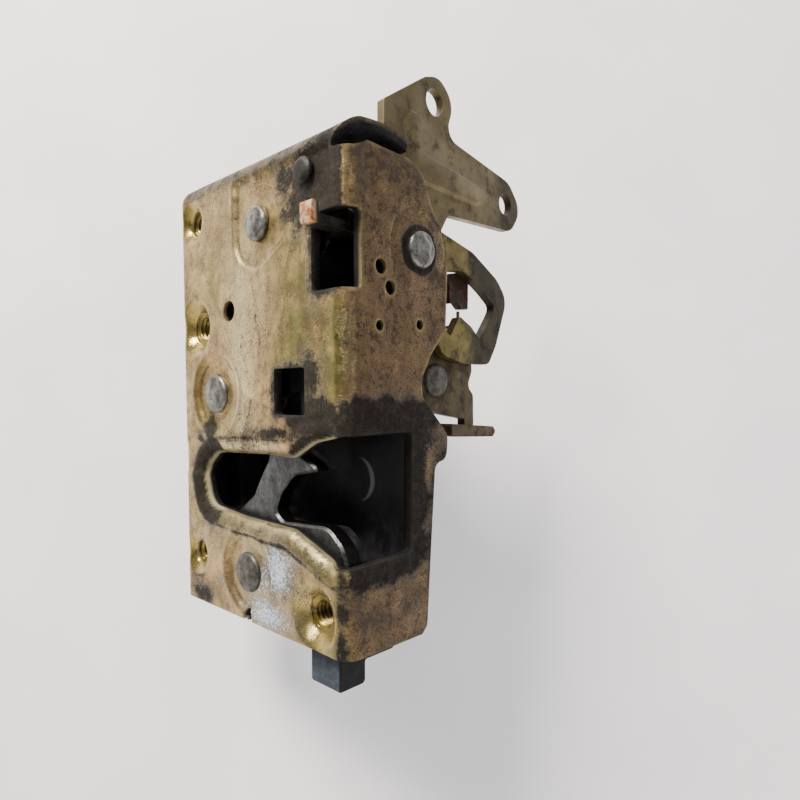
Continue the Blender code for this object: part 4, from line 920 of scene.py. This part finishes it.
def add_turned(name, data, place, direction, axis):
    """Link an object at a place, with its axis turned to a direction."""
    obj = bpy.data.objects.new(name, data)
    obj.location = place
    obj.rotation_mode = "QUATERNION"
    obj.rotation_quaternion = direction.to_track_quat(axis, "Y")
    bpy.context.scene.collection.objects.link(obj)
    return obj


def pale_surface(name, code, one_sided=False):
    """Matt pale paint with a faint mottle; a one-sided backdrop glows a little and is clear from behind."""
    made, tree, shader, place = start_material(name, 0.0, 0.75)
    colour = coat(tree, code, "#ebe8e9", patches(tree, place, (40.0,), 0.3, 0.7))
    tree.links.new(colour, shader.inputs["Base Color"])
    if one_sided:
        shader.inputs["Emission Color"].default_value = linear(code)
        shader.inputs["Emission Strength"].default_value = 0.24
        behind = put(tree, "NewGeometry", output="Backfacing")
        either = put(tree, "MixShader", {0: behind, 1: shader.outputs[0], 2: put(tree, "BsdfTransparent")})
        tree.links.new(either, tree.nodes["Material Output"].inputs["Surface"])
    return made


def stage_plane(name, centre, normal, size, finish):
    """A square plane that faces along its normal and belongs to no body."""
    mesh = bpy.data.meshes.new(name)
    half = size / 2
    corners = [(-half, -half, 0), (half, -half, 0), (half, half, 0), (-half, half, 0)]
    mesh.from_pydata(corners, [], [(0, 1, 2, 3)])
    mesh.materials.append(finish)
    obj = add_turned(name, mesh, centre, normal, "Z")
    return obj


def build_stage():
    """Pale backdrop and floor, a soft room and three area lights."""
    backdrop = stage_plane("backdrop", MIDDLE - VIEW_BACK * BACKDROP_GAP, VIEW_BACK + 0.10 * VIEW_UP, 1.2,
                           pale_surface("pale_backdrop", "#f4f2f2", True))
    backdrop.visible_shadow = False
    stage_plane("floor", (0, 0, cad_low.z - FLOOR_DROP), Vector((0, 0, 1)), 6.0,
                pale_surface("pale_floor", "#e6e3e4"))

    world = bpy.data.worlds.new("soft_room")
    world.use_nodes = True
    tree = world.node_tree
    height = put(tree, "SeparateXYZ", {0: put(tree, "TexCoord", output="Generated")}, 2)
    rising = put(tree, "MapRange", fade(height, -0.35, 0.75), **SMOOTH)
    sky = coat(tree, "#4d4a46", "#f4f6fa", rising)
    tree.links.new(sky, tree.nodes["Background"].inputs["Color"])
    tree.nodes["Background"].inputs["Strength"].default_value = 0.55
    bpy.context.scene.world = world

    for name, (back, right, up), size, watts, colour in LIGHTS:
        lamp = bpy.data.lights.new(name, "AREA")
        lamp.shape = "DISK"
        lamp.size = size
        lamp.energy = watts
        lamp.color = linear(colour)[:3]
        offset = VIEW_BACK * back + VIEW_RIGHT * right + VIEW_UP * up
        add_turned(name, lamp, MIDDLE + offset, -offset, "-Z")


def build_camera():
    """Camera in front of the corner between the face and the side plate."""
    data = bpy.data.cameras.new("camera")
    data.sensor_width = 36.0
    data.lens = 27.87
    data.shift_x = 0.02
    data.shift_y = 0.05
    data.clip_start = 0.005
    bpy.context.scene.camera = add_turned("camera", data, CAMERA_PLACE, -VIEW_BACK, "-Z")


build_camera()
build_pieces()
build_stage()
